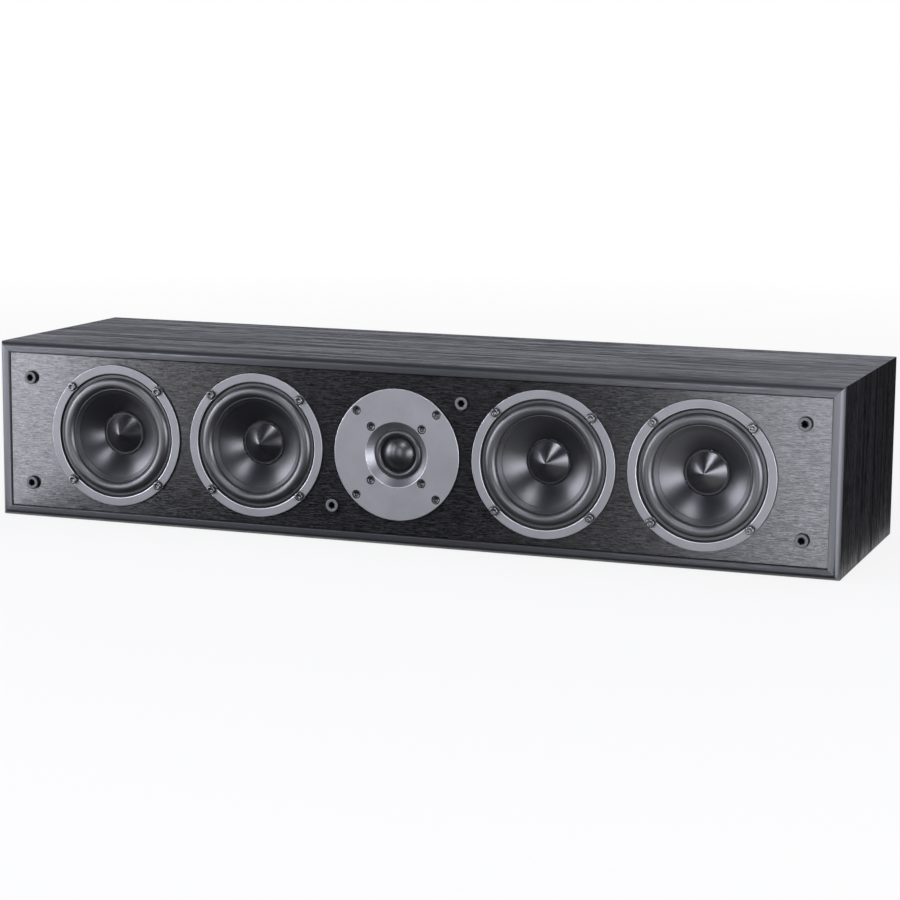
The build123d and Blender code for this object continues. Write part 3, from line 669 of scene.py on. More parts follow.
def silver_paint():
    """Satin silver: paint fleck on the flat face, turned metal on slopes and edges, and painted shade that
    darkens steep walls in holes and round the rims nearly to black.
    """
    f = Finish("satin_aluminium", colours().silver)
    fleck = f.noise(5200.0, 2.0, 0.6)
    cloud = f.noise(45.0, 3.0, 0.5)
    paint = f.shades(fleck * 0.7 + cloud * 0.3, (0.34, 0.82), (0.5, 1.0), (0.66, 1.2))
    _, front, _ = f.parts(f.node("NewGeometry").outputs["True Normal"])
    slope = front.spread(-0.98, -0.94, 0, 1)
    edge = slope * front.spread(-0.82, -0.78, 1, 0)
    bare_metal_and_wall_shade = f.tint(edge, 0, 1, (0.29, 0.29, 0.297), (0.8, 0.8, 0.815))
    # Painted shade: steep faces, the walls of the screw wells, the countersinks and the sides of the rings
    # and the plate, are tinted nearly black.
    bare_metal_and_wall_shade = f.tint(front, -0.69, -0.66, bare_metal_and_wall_shade, (0.02, 0.02, 0.021))
    f.drive("Base Color", f.tint(slope, 0, 1, paint, bare_metal_and_wall_shade))
    f.drive("Metallic", slope.spread(0, 1, 0.25, 0.9))
    f.drive("Roughness", fleck.spread(0.3, 0.7, 0.39, 0.49))
    return f.bump(fleck, 0.00002, 0.4)


def surround_rubber():
    """Moulded rubber with a fine dust-like grain, duller on the lip that is glued to the cone."""
    f = Finish("surround_rubber", colours().rubber, specular_ior_level=0.6, ior=1.75)
    grain = f.noise(2600.0, 3.0, 0.6)
    cloud = f.noise(90.0, 3.0, 0.6)
    f.drive("Base Color", f.shades(cloud, (0.3, 0.7), (0.5, 1.0), (0.7, 1.35)))
    radius, _ = f.polar()
    lip = radius.below(bpy.context.scene.speaker.woofer.roll_inner - 0.0005)
    f.drive("Roughness", grain.spread(0.3, 0.7, 0.36, 0.43) + lip * 0.03)
    f.drive("Specular IOR Level", lip.spread(0, 1, 0.85, 0.42))
    return f.bump(grain, 0.000015, 0.3)


def cone_polymer():
    """Satin polymer with faint rings from its mould, duller on the land round the cap."""
    f = Finish("cone_polymer", colours().cone, ior=1.75)
    radius, _ = f.polar()
    rings = f.noise(1.0, 2.0, 0.5, at=f.vector(radius * 900.0, 0.0, 0.0))
    grain = f.noise(1800.0, 2.0, 0.6)
    f.drive("Base Color", f.shades(rings, (0.3, 0.85), (0.5, 1.0), (0.7, 1.2)))
    f.drive("Roughness", grain.spread(0.3, 0.7, 0.30, 0.36))
    land = radius.below(bpy.context.scene.speaker.woofer.land)
    f.drive("Specular IOR Level", land.spread(0, 1, 0.5, 0.28))
    return f.bump(rings, 0.000012, 0.25)


def cap_polymer():
    """Glossier polymer of the dust caps."""
    f = Finish("cap_polymer", colours().cap, ior=1.75)
    grain = f.noise(2200.0, 2.0, 0.6)
    cloud = f.noise(160.0, 2.0, 0.5)
    f.drive("Base Color", f.shades(cloud, (0.3, 0.8), (0.7, 1.25)))
    f.drive("Roughness", grain.spread(0.3, 0.7, 0.23, 0.27))
    return f.bump(cloud, 0.00002, 0.15)


def glue():
    """Dark shiny glue, lumpy along its run."""
    f = Finish("bead_glue", (0.012, 0.012, 0.013), roughness=0.12, specular_ior_level=0.7, ior=1.75)
    lumps = f.noise(1300.0, 2.0, 0.6)
    f.drive("Base Color", f.shades(lumps, (0.3, 0.6), (0.7, 1.6)))
    f.drive("Specular IOR Level", lumps.spread(0.55, 0.63, 0.02, 1.0))
    return f.bump(lumps, 0.0006, 1.0)


def coated_cloth():
    """Coated cloth of the tweeter: glossy dome, dark groove and woven roll."""
    f = Finish("coated_cloth", colours().cloth, specular_ior_level=0.6, ior=1.75)
    size = bpy.context.scene.speaker.tweeter
    radius, angle = f.polar()
    weave = f.math('SINE', angle * 220.0) * f.math('SINE', radius * 13000.0) * radius.above(size.roll_inner)
    coat = f.noise(500.0, 2.0, 0.5)
    f.drive("Base Color", f.tint(weave, -0.1, 0.9, (0.006, 0.006, 0.007), (0.040, 0.040, 0.044)))
    f.drive("Roughness", coat.spread(0.3, 0.7, 0.31, 0.40))
    groove = radius.above(size.dome - 0.0003) * radius.below(size.roll_inner + 0.0001)
    f.drive("Specular IOR Level", groove.spread(0, 1, 0.6, 0.05))
    return f.bump(weave * 0.5 + coat * 0.1, 0.00005, 0.4)


def socket_rubber():
    """Moulded rubber with a fine grain on the front, and painted shade that darkens the sides nearly to
    black and makes them less shiny.
    """
    f = Finish("socket_rubber", colours().socket, roughness=0.5)
    grain = f.noise(1500.0, 3.0, 0.6)
    grained_front = f.shades(grain, (0.34, 0.8), (0.5, 1.0), (0.66, 1.2))
    _, front, _ = f.parts(f.node("TexCoord").outputs["Normal"])
    # Painted shade: faces turned away from the front are tinted nearly black, and their specular level
    # drops.
    f.drive("Base Color", f.tint(front, -0.92, -0.6, grained_front, (0.008, 0.008, 0.008)))
    f.drive("Specular IOR Level", front.spread(-0.92, -0.6, 0.5, 0.1))
    return f.bump(grain, 0.00003, 0.4)


def grained(name, base, scale, rough, depth=0.00003, contrast=0.3, metallic=0.0):
    """Plain moulded, cast or plated finish: a grain in its colour, roughness and surface."""
    f = Finish(name, base, metallic=metallic)
    grain = f.noise(scale, 3.0, 0.6)
    cloud = f.noise(scale / 24, 3.0, 0.5)
    shade = f.shades(grain * 0.5 + cloud * 0.5, (0.34, 1 - contrast), (0.5, 1.0), (0.66, 1 + contrast))
    f.drive("Base Color", shade)
    f.drive("Roughness", grain.spread(0.3, 0.7, rough * 0.85, min(rough * 1.15, 1)))
    return f.bump(grain, depth, 0.4)


def finish(slot):
    """The finish of a slot, made once: its own function, or a grain with the values listed here."""
    if slot not in MADE:
        shade = colours()
        own = {"black_ash_foil": ash_foil, "brushed_foil": brushed_foil, "satin_aluminium": silver_paint,
               "surround_rubber": surround_rubber, "cone_polymer": cone_polymer, "bead_glue": glue,
               "cap_polymer": cap_polymer, "coated_cloth": coated_cloth, "socket_rubber": socket_rubber}
        plain = {
            "rear_board": (shade.board, 700.0, 0.5, 0.00006),
            "black_steel": (shade.steel, 900.0, 0.22, 0.00001, 0.3, 0.9),
            "dull_steel": (shade.dull_steel, 900.0, 0.32, 0.00001, 0.3, 0.9),
            "black_plastic": (shade.black_plastic, 1400.0, 0.45, 0.00004),
            "red_plastic": (shade.red_plastic, 1200.0, 0.32, 0.00003, 0.15),
            "copper_wire": ((0.55, 0.20, 0.08), 1500.0, 0.3, 0.00003, 0.3, 1.0),
            "plated_steel": ((0.42, 0.42, 0.40), 800.0, 0.35, 0.00003, 0.3, 1.0),
            "ferrite": ((0.035, 0.035, 0.037), 900.0, 0.7, 0.00008),
            "nickel_brass": ((0.62, 0.58, 0.50), 1400.0, 0.22, 0.00003, 0.3, 1.0),
            "circuit_board": ((0.05, 0.16, 0.06), 600.0, 0.4),
            "capacitor_film": ((0.42, 0.30, 0.06), 500.0, 0.35),
            "ceramic_white": ((0.62, 0.60, 0.56), 900.0, 0.7),
            "white_wadding": ((0.7, 0.7, 0.68), 300.0, 0.95, 0.002),
            "basket_steel": ((0.006, 0.006, 0.0065), 700.0, 0.6),
            "spider_cloth": ((0.35, 0.22, 0.08), 1800.0, 0.9, 0.0001),
        }
        MADE[slot] = own[slot]() if slot in own else grained(slot, *plain[slot])
    return MADE[slot]


# Operators


class SPEAKER_OT_cabinet_sleeve(Operator):
    """Models the sleeve from a block: rounded front lip, rebates at both ends, hollow between"""
    bl_idname = "speaker.cabinet_sleeve"
    bl_label = "Cabinet sleeve"

    def execute(self, context):
        size = context.scene.speaker.cabinet
        leave_all()
        bpy.ops.mesh.primitive_cube_add(size=1, location=(0, 0, 0))
        sleeve = named(bpy.context.object, "cabinet_sleeve_foil")
        bpy.ops.object.mode_set(mode='EDIT')
        bpy.ops.transform.resize(value=SLEEVE_HIGH - SLEEVE_LOW)
        bpy.ops.transform.translate(value=(SLEEVE_HIGH + SLEEVE_LOW) / 2)
        choose_faces(sleeve, end_faces(-1))
        bpy.ops.mesh.bevel(offset=size.lip_round, segments=8, profile=0.42, affect='EDGES')
        choose_faces(sleeve, end_faces(-1))
        bpy.ops.mesh.inset(thickness=size.lip - size.lip_round - size.lip_bevel, depth=0)
        for wide, deep in ((0.45, 0.14), (0.35, 0.32), (0.2, 0.54)):
            bpy.ops.mesh.inset(thickness=wide * size.lip_bevel, depth=-deep * size.lip_bevel)
        back = BAFFLE_FACE + size.baffle_thickness - SLEEVE_LOW.y - size.lip_bevel
        bpy.ops.mesh.extrude_region_move(TRANSFORM_OT_translate={"value": (0, back, 0)})
        bpy.ops.mesh.inset(thickness=size.wall - size.lip, depth=0)
        choose_faces(sleeve, end_faces(1))
        bpy.ops.mesh.inset(thickness=size.lip, depth=0)
        front = REAR_FACE - size.rear_thickness - SLEEVE_HIGH.y
        bpy.ops.mesh.extrude_region_move(TRANSFORM_OT_translate={"value": (0, front, 0)})
        bpy.ops.mesh.inset(thickness=size.wall - size.lip, depth=0)
        choose_faces(sleeve, end_faces(-1, 1))
        bpy.ops.mesh.bridge_edge_loops()
        pick(sleeve)
        soft = sleeve.modifiers.new("edges", 'BEVEL')
        soft.width = size.edge
        soft.segments = 2
        soft.limit_method = 'ANGLE'
        soft.angle_limit = radians(66)
        bpy.ops.object.modifier_apply(modifier=soft.name)
        smooth(sleeve, 30)
        dress(sleeve, "cabinet", "black_ash_foil", "cabinet_sleeve")
        return {'FINISHED'}


class SPEAKER_OT_trim_rings(Operator):
    """Turns one silver trim ring and copies it to each woofer"""
    bl_idname = "speaker.trim_rings"
    bl_label = "Trim rings"

    def execute(self, context):
        size = context.scene.speaker.woofer
        inner, outer, top = size.ring_inner, size.ring_outer, -size.ring_proud
        outline = [(inner, 0), (outer, 0)]
        outline += rounded((outer, 0), (outer, top), (inner, top), size.ring_round, 5)
        outline += rounded((outer, top), (inner, top), (inner, 0), size.ring_mouth, 6)
        ring = turned("ring", outline, 160)
        for place in ring_places(size.screw_circle):
            cut(ring, rod(40, size.well, 2 * size.well_depth, (place.x, top, place.z)))
        smooth(ring)
        to_woofers(ring, "silver_ring", "cabinet", "satin_aluminium", "trim_ring")
        return {'FINISHED'}


def hexagon_socket(screw, top, hexagon, depth, point, tip):
    """Cuts a hexagon socket with a pointed floor into a screw's head."""
    cut(screw, rod(6, hexagon, 2 * depth, (0, top, 0)))
    floor_line = [(0, top), (point, top), (point, top + depth), (0, top + depth + tip)]
    smooth(cut(screw, turned("point", floor_line, 24)))


class SPEAKER_OT_woofer_screws(Operator):
    """Models one cap screw and sets four of them, each turned its own way, on every trim ring"""
    bl_idname = "speaker.woofer_screws"
    bl_label = "Woofer screws"

    def execute(self, context):
        size = context.scene.speaker.woofer
        head, top, hexagon, seat = size.screw_head, -size.screw_height, size.hexagon, size.well_depth
        shank, reach, dish = 0.0015, 0.008, 0.0004
        outline = [(0, reach), (shank, reach), (shank, seat), (head, seat)]
        outline += rounded((head, seat), (head, top), (hexagon, top), 0.0006, 4)
        outline += rounded((head, top), (hexagon * 1.12, top), (hexagon, top + 0.0005), 0.0001, 2)
        outline += [(hexagon, top + dish), (0, top + dish)]
        screw = turned("screw", outline, 32)
        hexagon_socket(screw, top, hexagon, 0.0012, hexagon * 0.8, hexagon * 0.5)
        seats = [driver_place(n) + Vector((0, -size.ring_proud, 0)) for n in WOOFERS]
        places = [seat + place for seat in seats for place in ring_places(size.screw_circle)]
        turns = [0.37 * (4 + k) for k in range(len(places))]
        screws = repeated(screw, "woofer_cap_screws", places, turns)
        bpy.data.objects.remove(screw)
        dress(screws, "cabinet", "black_steel", "woofer_screws")
        return {'FINISHED'}


class SPEAKER_OT_surrounds(Operator):
    """Turns the rubber surround with its flange, grooves, half-roll and lip, for each woofer"""
    bl_idname = "speaker.surrounds"
    bl_label = "Surrounds"

    def execute(self, context):
        size = context.scene.speaker.woofer
        rim, rise, skin, groove = size.rim, size.roll_rise, size.skin, size.skin * 0.45
        outer, inner = size.roll_outer, size.roll_inner
        crest = (outer + inner) / 2
        flange, gutter, shelf = outer + 0.0008, outer + 0.0005, inner - 0.0007
        lip, drop = size.lip_inner, size.lip_drop
        outline = [(rim, 0)]
        outline += rounded((rim, 0), (rim, -skin), (flange, -skin), 0.0002, 3)
        outline += rounded((rim, -skin), (flange, -skin), (gutter, -groove), 0.00015, 2)
        outline += [(gutter, -groove), (outer, -groove)]
        outline += arc((outer, -groove), (crest, -skin - rise), (inner, -groove), 28)
        outline += [(inner - 0.0004, -groove), (shelf, -skin)]
        outline += rounded((shelf, -skin), (lip, drop - skin), (lip, drop), 0.0002, 3)
        outline += [(lip, drop), (inner, 0), (inner + skin, 0)]
        outline += arc((inner + skin, 0), (crest, -rise), (outer - skin, 0), 20)
        roll = keep_local(turned("surround", outline, 192, 40))
        for n in WOOFERS:
            at = driver_place(n)
            piece = copied(roll, f"woofer_{n}_rubber_surround", at)
            dress(piece, None, "surround_rubber", f"woofer_{n}_surround")
            stretch_between(piece, at, inner, outer, f"woofer_{n}_cone")
        bpy.data.objects.remove(roll)
        return {'FINISHED'}


class SPEAKER_OT_cones(Operator):
    """Turns the flared cone with its rim, land and neck, for each woofer"""
    bl_idname = "speaker.cones"
    bl_label = "Cones"

    def execute(self, context):
        size = context.scene.speaker.woofer
        skin, depth = size.cone_skin, size.cone_depth
        land, lip, drop = size.land, size.lip_inner, size.lip_drop
        bore, neck = 0.0131, 0.004
        x, y = (lip + land) / 2, (depth + drop) / 2 - size.cone_bow
        outline = [(bore, depth), (land, depth)]
        outline += arc((land, depth), (x, y), (lip, drop), 28)
        outline += [(size.cone_rim, 0), (size.cone_rim, skin), (lip, drop + skin)]
        outline += arc((lip, drop + skin), (x, y + skin), (land, depth + skin), 20)
        outline += [(bore + skin, depth + skin), (bore + skin, depth + neck), (bore, depth + neck)]
        cone = keep_local(turned("cone", outline, 160, 25))
        to_woofers(cone, "satin_cone", "woofer_{}_cone", "cone_polymer", "cone")
        return {'FINISHED'}


class SPEAKER_OT_dust_caps(Operator):
    """Turns the pointed dust cap and its uneven bead of glue, for each woofer"""
    bl_idname = "speaker.dust_caps"
    bl_label = "Dust caps"

    def execute(self, context):
        size = context.scene.speaker.woofer
        radius, skin = size.cap_radius, 0.0008
        foot, tip = size.cone_depth, size.cone_depth - size.cap_height
        x, y = radius / 2 + size.cap_bow, foot - size.cap_height / 2 - size.cap_bow
        outline = [(radius, foot)]
        outline += bow((radius, foot), (x, y), (0, tip), 28)
        outline += [(0, tip + skin)]
        outline += bow((0, tip + skin), (x - skin / 2, y + skin / 2), (radius - skin, foot), 18)
        cap = keep_local(turned("cap", outline, 128, 30))
        to_woofers(cap, "pointed_cap", "woofer_{}_cone", "cap_polymer", "dust_cap")
        leave_all()
        bpy.ops.mesh.primitive_torus_add(location=(0, foot, 0), rotation=ALONG_Y, major_segments=160,
                                         minor_segments=10, major_radius=size.land - 0.0005,
                                         minor_radius=size.bead)
        bead = named(bpy.context.object, "bead")
        bpy.ops.object.transform_apply()
        lumps = bpy.data.textures.new("glue_lumps", 'CLOUDS')
        lumps.noise_scale = 0.0035
        uneven = bead.modifiers.new("uneven", 'DISPLACE')
        uneven.texture = lumps
        uneven.texture_coords = 'GLOBAL'
        uneven.strength = 0.0006
        uneven.mid_level = 0.6
        bpy.ops.object.modifier_apply(modifier=uneven.name)
        smooth(bead, 60)
        to_woofers(bead, "glue_bead", "woofer_{}_cone", "cap_polymer", look="bead_glue", turn=1.3)
        return {'FINISHED'}


class SPEAKER_OT_tweeter_plate(Operator):
    """Turns the tweeter's faceplate with its horn and cuts its eight countersunk holes"""
    bl_idname = "speaker.tweeter_plate"
    bl_label = "Tweeter faceplate"

    def execute(self, context):
        size = context.scene.speaker.tweeter
        top, back, edge = -size.plate_proud, size.plate_inset, size.plate
        mouth, throat = size.horn_mouth, size.horn_throat
        slope = (mouth - throat) / (back - top)
        outline = [(throat, back), (throat + 0.00012, back - 0.0003)]
        outline += rounded((mouth - 0.001 * slope, top + 0.001), (mouth, top), (edge, top), 0.0007, 4)
        outline += [(mouth + 0.0005, top), (edge - 0.0013, top)]
        outline += rounded((mouth, top), (edge, top), (edge, back), size.plate_round, 5)
        outline += [(edge, back)]
        plate = turned("tweeter_silver_plate", outline, 192, 20)
        above, under, bore = top - 0.0005, back + 0.001, 0.0016
        sink = [(0, above), (size.screw_head + 0.00075, above), (bore, top + 0.0022), (bore, under),
                (0, under)]
        hole = turned("hole", sink, 40)
        places = ring_places(size.outer_circle) + ring_places(size.inner_circle)
        cut(plate, repeated(hole, "holes", places, [0] * len(places)))
        bpy.data.objects.remove(hole)
        smooth(plate, 20)
        dress(moved(plate, CENTRE), "cabinet", "satin_aluminium", "tweeter_faceplate")
        return {'FINISHED'}


class SPEAKER_OT_tweeter_dome(Operator):
    """Turns the tweeter's soft dome with its cloth roll and rim"""
    bl_idname = "speaker.tweeter_dome"
    bl_label = "Tweeter dome"

    def execute(self, context):
        size = context.scene.speaker.tweeter
        dome, inner, outer = size.dome, size.roll_inner, size.roll_outer
        front, foot, rise = size.plate_inset, size.plate_inset + size.groove, size.dome_rise + size.groove
        back, heel = front + size.skin, foot + size.skin
        ball = (dome ** 2 + rise ** 2) / (2 * rise)
        half, crest = dome / 2, (inner + outer) / 2
        shoulder = rise - ball + sqrt(ball ** 2 - half ** 2)
        groove = inner - 0.0001
        outline = [(0, foot - rise)]
        outline += arc((0, foot - rise), (half, foot - shoulder), (dome, foot), 24)
        outline += [(groove, foot), (inner, front)]
        outline += arc((inner, front), (crest, front - size.roll_rise), (outer, front), 18)
        outline += [(size.rim, front), (size.rim, back), (outer, back)]
        outline += arc((outer, back), (crest, back - size.roll_rise), (inner, back), 12)
        outline += [(groove, heel), (dome, heel)]
        outline += arc((dome, heel), (half, heel - shoulder), (0, heel - rise), 16)
        piece = moved(keep_local(turned("tweeter_cloth_dome", outline, 144)), CENTRE)
        dress(piece, None, "coated_cloth", "tweeter_diaphragm")
        stretch_between(piece, CENTRE, dome, outer, "tweeter_dome")
        return {'FINISHED'}


class SPEAKER_OT_tweeter_screws(Operator):
    """Models the countersunk screw of the faceplate and sets both circles of them"""
    bl_idname = "speaker.tweeter_screws"
    bl_label = "Tweeter screws"

    def execute(self, context):
        size = context.scene.speaker.tweeter
        head, top = size.screw_head, -size.plate_proud + 0.0003
        shank, reach = 0.0015, 0.0105
        outline = [(0, reach), (shank, reach), (shank, top + 0.0019), (head, top + 0.0003)]
        outline += rounded((head, top + 0.0006), (head, top), (0, top), 0.00025, 3)
        outline += [(0, top)]
        screw = turned("screw", outline, 32)
        hexagon_socket(screw, top, 0.0017, 0.001, 0.0012, 0.0007)
        for name, circle, node in (("tweeter_plate_screws", size.outer_circle, "tweeter_screws"),
                                   ("tweeter_inner_screws", size.inner_circle, "tweeter_motor_screws")):
            places = [CENTRE + place for place in ring_places(circle)]
            screws = repeated(screw, name, places, [0.61 * k for k in range(4)])
            dress(screws, "cabinet", "black_steel", node, look="dull_steel")
        bpy.data.objects.remove(screw)
        return {'FINISHED'}


class SPEAKER_OT_grille_sockets(Operator):
    """Turns the rubber grille socket, cuts its star-shaped mouth and sets all six"""
    bl_idname = "speaker.grille_sockets"
    bl_label = "Grille sockets"

    def execute(self, context):
        size = context.scene.speaker.fittings
        top, radius, bore = -size.socket_proud, size.socket, size.socket_bore
        stem, reach, mouth, star_depth = 0.004, 0.0155, 0.0002, 0.024
        outline = [(0, reach), (stem, reach), (stem, 0), (radius, 0)]
        outline += rounded((radius, 0), (radius, top), (0, top), size.socket_round, 5)
        outline += [(bore + 0.0003, top), (bore, top + mouth), (0, top + mouth)]
        socket = turned("socket", outline, 48)
        star = rod(12, bore, star_depth, (0, top, 0))
        bpy.ops.object.transform_apply()
        bpy.ops.object.mode_set(mode='EDIT')
        bpy.ops.mesh.select_mode(type='VERT')
        bpy.ops.mesh.select_all(action='DESELECT')
        bpy.ops.object.mode_set(mode='OBJECT')
        for vertex in star.data.vertices:
            vertex.select = round(atan2(vertex.co.z, vertex.co.x) / (pi / 6)) % 2 == 0
        bpy.ops.object.mode_set(mode='EDIT')
        bpy.ops.transform.resize(value=(0.66, 1, 0.66), center_override=(0, 0, 0))
        bpy.ops.mesh.select_all(action='DESELECT')
        smooth(cut(socket, star))
        wide, near, high = size.socket_corner_x, size.socket_middle_x, size.socket_spread
        spots = [(a * wide, b * high) for a in (-1, 1) for b in (-1, 1)] + [(near, high), (-near, -high)]
        places = [CENTRE + Vector((x, 0, z)) for x, z in spots]
        turns = [0.4 * k for k in range(len(places))]
        sockets = repeated(socket, "grille_rubber_sockets", places, turns)
        bpy.data.objects.remove(socket)
        dress(sockets, "cabinet", "socket_rubber", "grille_sockets")
        return {'FINISHED'}


class SPEAKER_OT_port(Operator):
    """Turns the flared bass-reflex port with its flange"""
    bl_idname = "speaker.port"
    bl_label = "Bass-reflex port"

    def execute(self, context):
        size = context.scene.speaker.fittings
        bore, flare, edge, end = size.port_bore, size.port_flare, size.port_flange, -size.port_length
        wall, front = 0.0025, 0.0025
        lift = flare * (1 - cos(radians(45)))
        outline = [(bore, end), (bore, front - flare)]
        outline += arc((bore, front - flare), (bore + lift, front - lift), (bore + flare, front), 12)
        outline += rounded((bore + flare, front), (edge, front), (edge, 0), 0.0008, 4)
        outline += [(edge, 0), (bore + flare + wall, 0), (bore + wall, -flare - wall), (bore + wall, end)]
        port = turned("port_flared_tube", outline, 128, 30)
        at = middle("port_tube")
        dress(moved(port, (at.x, REAR_FACE, at.z)), "cabinet", "black_plastic", "port_tube")
        return {'FINISHED'}


class SPEAKER_OT_terminal_caps(Operator):
    """Turns the terminal cap, cuts its flutes and sets the black one and the red one"""
    bl_idname = "speaker.terminal_caps"
    bl_label = "Terminal caps"

    def execute(self, context):
        low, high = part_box("black_terminal_cap")
        long, radius = high.y - low.y, (high.z - low.z) / 2
        bore, thread, groove = 0.00215, 0.0095, 0.0008
        dish = long - 0.0004
        outline = [(bore, 0)]
        outline += rounded((bore, 0), (radius, 0), (radius, long), 0.0003, 3)
        outline += rounded((radius, 0), (radius, long), (0, long), 0.0009, 4)
        outline += [(radius * 0.62, long), (radius * 0.56, dish), (0, dish), (0, thread), (bore, thread)]
        cap = turned("cap", outline, 80)
        flute = rod(20, groove, 3 * long)
        bpy.ops.object.transform_apply()
        count = context.scene.speaker.fittings.cap_flutes
        places = ring_places(radius, [360 * k / count for k in range(count)])
        smooth(cut(cap, repeated(flute, "flutes", places, [0] * count)))
        bpy.data.objects.remove(flute)
        for shade in ("black", "red"):
            node = shade + "_terminal_cap"
            at = middle(node)
            piece = copied(cap, shade + "_fluted_cap", (at.x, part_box(node)[0].y, at.z))
            dress(piece, shade + "_cap", shade + "_plastic", node)
        bpy.data.objects.remove(cap)
        return {'FINISHED'}


class SPEAKER_OT_terminal_screws(Operator):
    """Models the pan-head screw with its cross slot and sets four in the terminal cup's rim"""
    bl_idname = "speaker.terminal_screws"
    bl_label = "Terminal screws"

    def execute(self, context):
        low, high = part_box("terminal_screws")
        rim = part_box("terminal_cup")[1].y
        head, shank, rise, reach = 0.0028, 0.0015, high.y - rim, low.y - rim
        ball = (head ** 2 + rise ** 2) / (2 * rise)
        shoulder = (head * 0.7, rise - ball + sqrt(ball ** 2 - (head * 0.7) ** 2))
        outline = [(0, reach), (shank, reach), (shank, 0), (head, 0)]
        outline += arc((head, 0), shoulder, (0, rise), 10)
        screw = turned("screw", outline, 32)
        for span in ((0.0032, 0.0016, 0.0006), (0.0006, 0.0016, 0.0032)):
            leave_all()
            bpy.ops.mesh.primitive_cube_add(size=1, location=(0, rise, 0))
            bpy.ops.transform.resize(value=span)
            cut(screw, bpy.context.object)
        smooth(screw)
        places = [(x, rim, z) for x in (low.x + head, high.x - head) for z in (low.z + head, high.z - head)]
        screws = repeated(screw, "terminal_cross_screws", places, (0.0, 0.8, 0.5, 1.3))
        bpy.data.objects.remove(screw)
        dress(screws, "cabinet", "black_steel", "terminal_screws")
        return {'FINISHED'}


class SPEAKER_OT_kept_parts(Operator):
    """Gives each CAD node that stays, outside and inside, the finish of its slot"""
    bl_idname = "speaker.kept_parts"
    bl_label = "Kept parts"

    def execute(self, context):
        for part in frame["record"]["subparts"]:
            node = NODES[part["node"]]
            node.data.materials.clear()
            node.data.materials.append(finish(part["material_slot"]))
        return {'FINISHED'}


class SPEAKER_OT_stage(Operator):
    """Sets the pale floor, the soft lights, the dark cards and the camera; two of the cards are painted
    shade of the floor next to the cabinet, seen only in reflections
    """
    bl_idname = "speaker.stage"
    bl_label = "Stage"

    def execute(self, context):
        floor()
        daylight()
        softbox("left_strip", -38, 0.70, 2.1, (0.30, 1.4), 12)
        softbox("front_strip", -1, 0.50, 2.3, (0.60, 1.0), 12)
        softbox("left_side", -70, 0.52, 2.0, (0.9, 1.0), 23)
        softbox("front_high", 16, 1.75, 1.5, (0.7, 0.4), 13)
        softbox("right_side", 60, 0.28, 1.9, (1.25, 0.56), 20)
        softbox("overhead", 170, 1.9, 0.5, (2.0, 1.0), 8).visible_glossy = False
        softbox("rear", 165, 1.7, 1.8, (1.4, 0.5), 6)
        dark, thin = dark_cloth(), thinned_cloth()
        dark_room(dark)
        card("front_floor_card", thin, (-0.13, -0.11), (0.34, -0.11), (0.06, -1.2), (-0.62, -1.2))
        # Painted shade: these two dark cards stand for the shaded floor right in front of the lip and in
        # front of the left woofer, as the bottom lip and the left cone reflect it.
        card("lip_floor_shade_card", dark, (-0.34, -0.0945), (0.34, -0.0945), (0.34, -0.11), (-0.34, -0.11))
        card("left_floor_shade_card", dark, (-0.34, -0.1), (-0.03, -0.1), (-0.03, -0.28), (-0.34, -0.28))
        card("side_floor_card", dark, (0.34, -0.1), (0.9, -0.1), (2.2, 2.2), (0.34, 2.2))
        card("side_wall_card", dark, (0.45, 2.2, 0), (3.0, 1.4, 0), (3.0, 1.4, 1.8), (0.45, 2.2, 1.8))
        card("rear_flag", dark, (-2.4, 2.6, 0.95), (0.9, 2.6, 0.85), (0.9, 2.6, 2.6), (-2.4, 2.6, 2.6))
        camera(context)
        context.scene.view_settings.view_transform = 'Standard'
        return {'FINISHED'}


def floor():
    """Wide pale floor that keeps a faint shadow."""
    leave_all()
    bpy.ops.mesh.primitive_grid_add(x_subdivisions=8, y_subdivisions=8, size=40, location=(0, 0, -0.0003))
    ground = named(bpy.context.object, "floor")
    f = Finish("pale_floor", (0.8, 0.8, 0.8), roughness=0.9, specular_ior_level=0.0)
    f.drive("Base Color", f.shades(f.noise(3.0, 2.0, 0.5), (0.3, 0.99), (0.7, 1.0)))
    _, glossy, seen = f.rays()
    x, y, _ = f.parts(f.place())
    away = f.math('SQRT', x * x + y * y)
    white = f.node("Emission").outputs["Emission"]
    pale = f.mixed(seen * away.spread(0.4, 2.2, 0.84, 1.0), f.surface.outputs["BSDF"], white)
    gloss = f.node("BsdfGlossy")
    gloss.inputs["Roughness"].default_value = 0.12
    fresnel = f.node("Fresnel")
    fresnel.inputs["IOR"].default_value = 1.5
    f.mixed(glossy * fresnel.outputs["Fac"], pale, gloss.outputs["BSDF"])
    ground.data.materials.append(f.material)


def daylight():
    """World that is white where it is seen or mirrored, and dimmer as light."""
    world = bpy.data.worlds.new("studio")
    bpy.context.scene.world = world
    world.use_nodes = True
    sky = Nodes(world.node_tree)
    back = sky.tree.nodes["Background"]
    camera_ray, _, seen = sky.rays()
    sky.link(seen.spread(0, 1, 0.22, 1.0), back.inputs["Strength"])
    sky.link(sky.tint(camera_ray, 0, 1, (0.89, 0.90, 1.0), (1, 1, 1)), back.inputs["Color"])


def softbox(name, azimuth, height, distance, size, power):
    """Area light that faces the middle of the cabinet, azimuth in degrees from straight ahead."""
    light = bpy.data.lights.new(name, 'AREA')
    light.shape = 'RECTANGLE'
    light.size, light.size_y = size
    light.energy = power
    light.color = (0.88, 0.89, 1.0)
    lamp = bpy.data.objects.new(name, light)
    bpy.context.scene.collection.objects.link(lamp)
    a = radians(azimuth)
    lamp.location = (distance * sin(a), BAFFLE_FACE - distance * cos(a), height)
    lamp.rotation_mode = 'QUATERNION'
    lamp.rotation_quaternion = (CENTRE - lamp.location).to_track_quat('-Z', 'Y')
    lamp.visible_camera = False
    return lamp


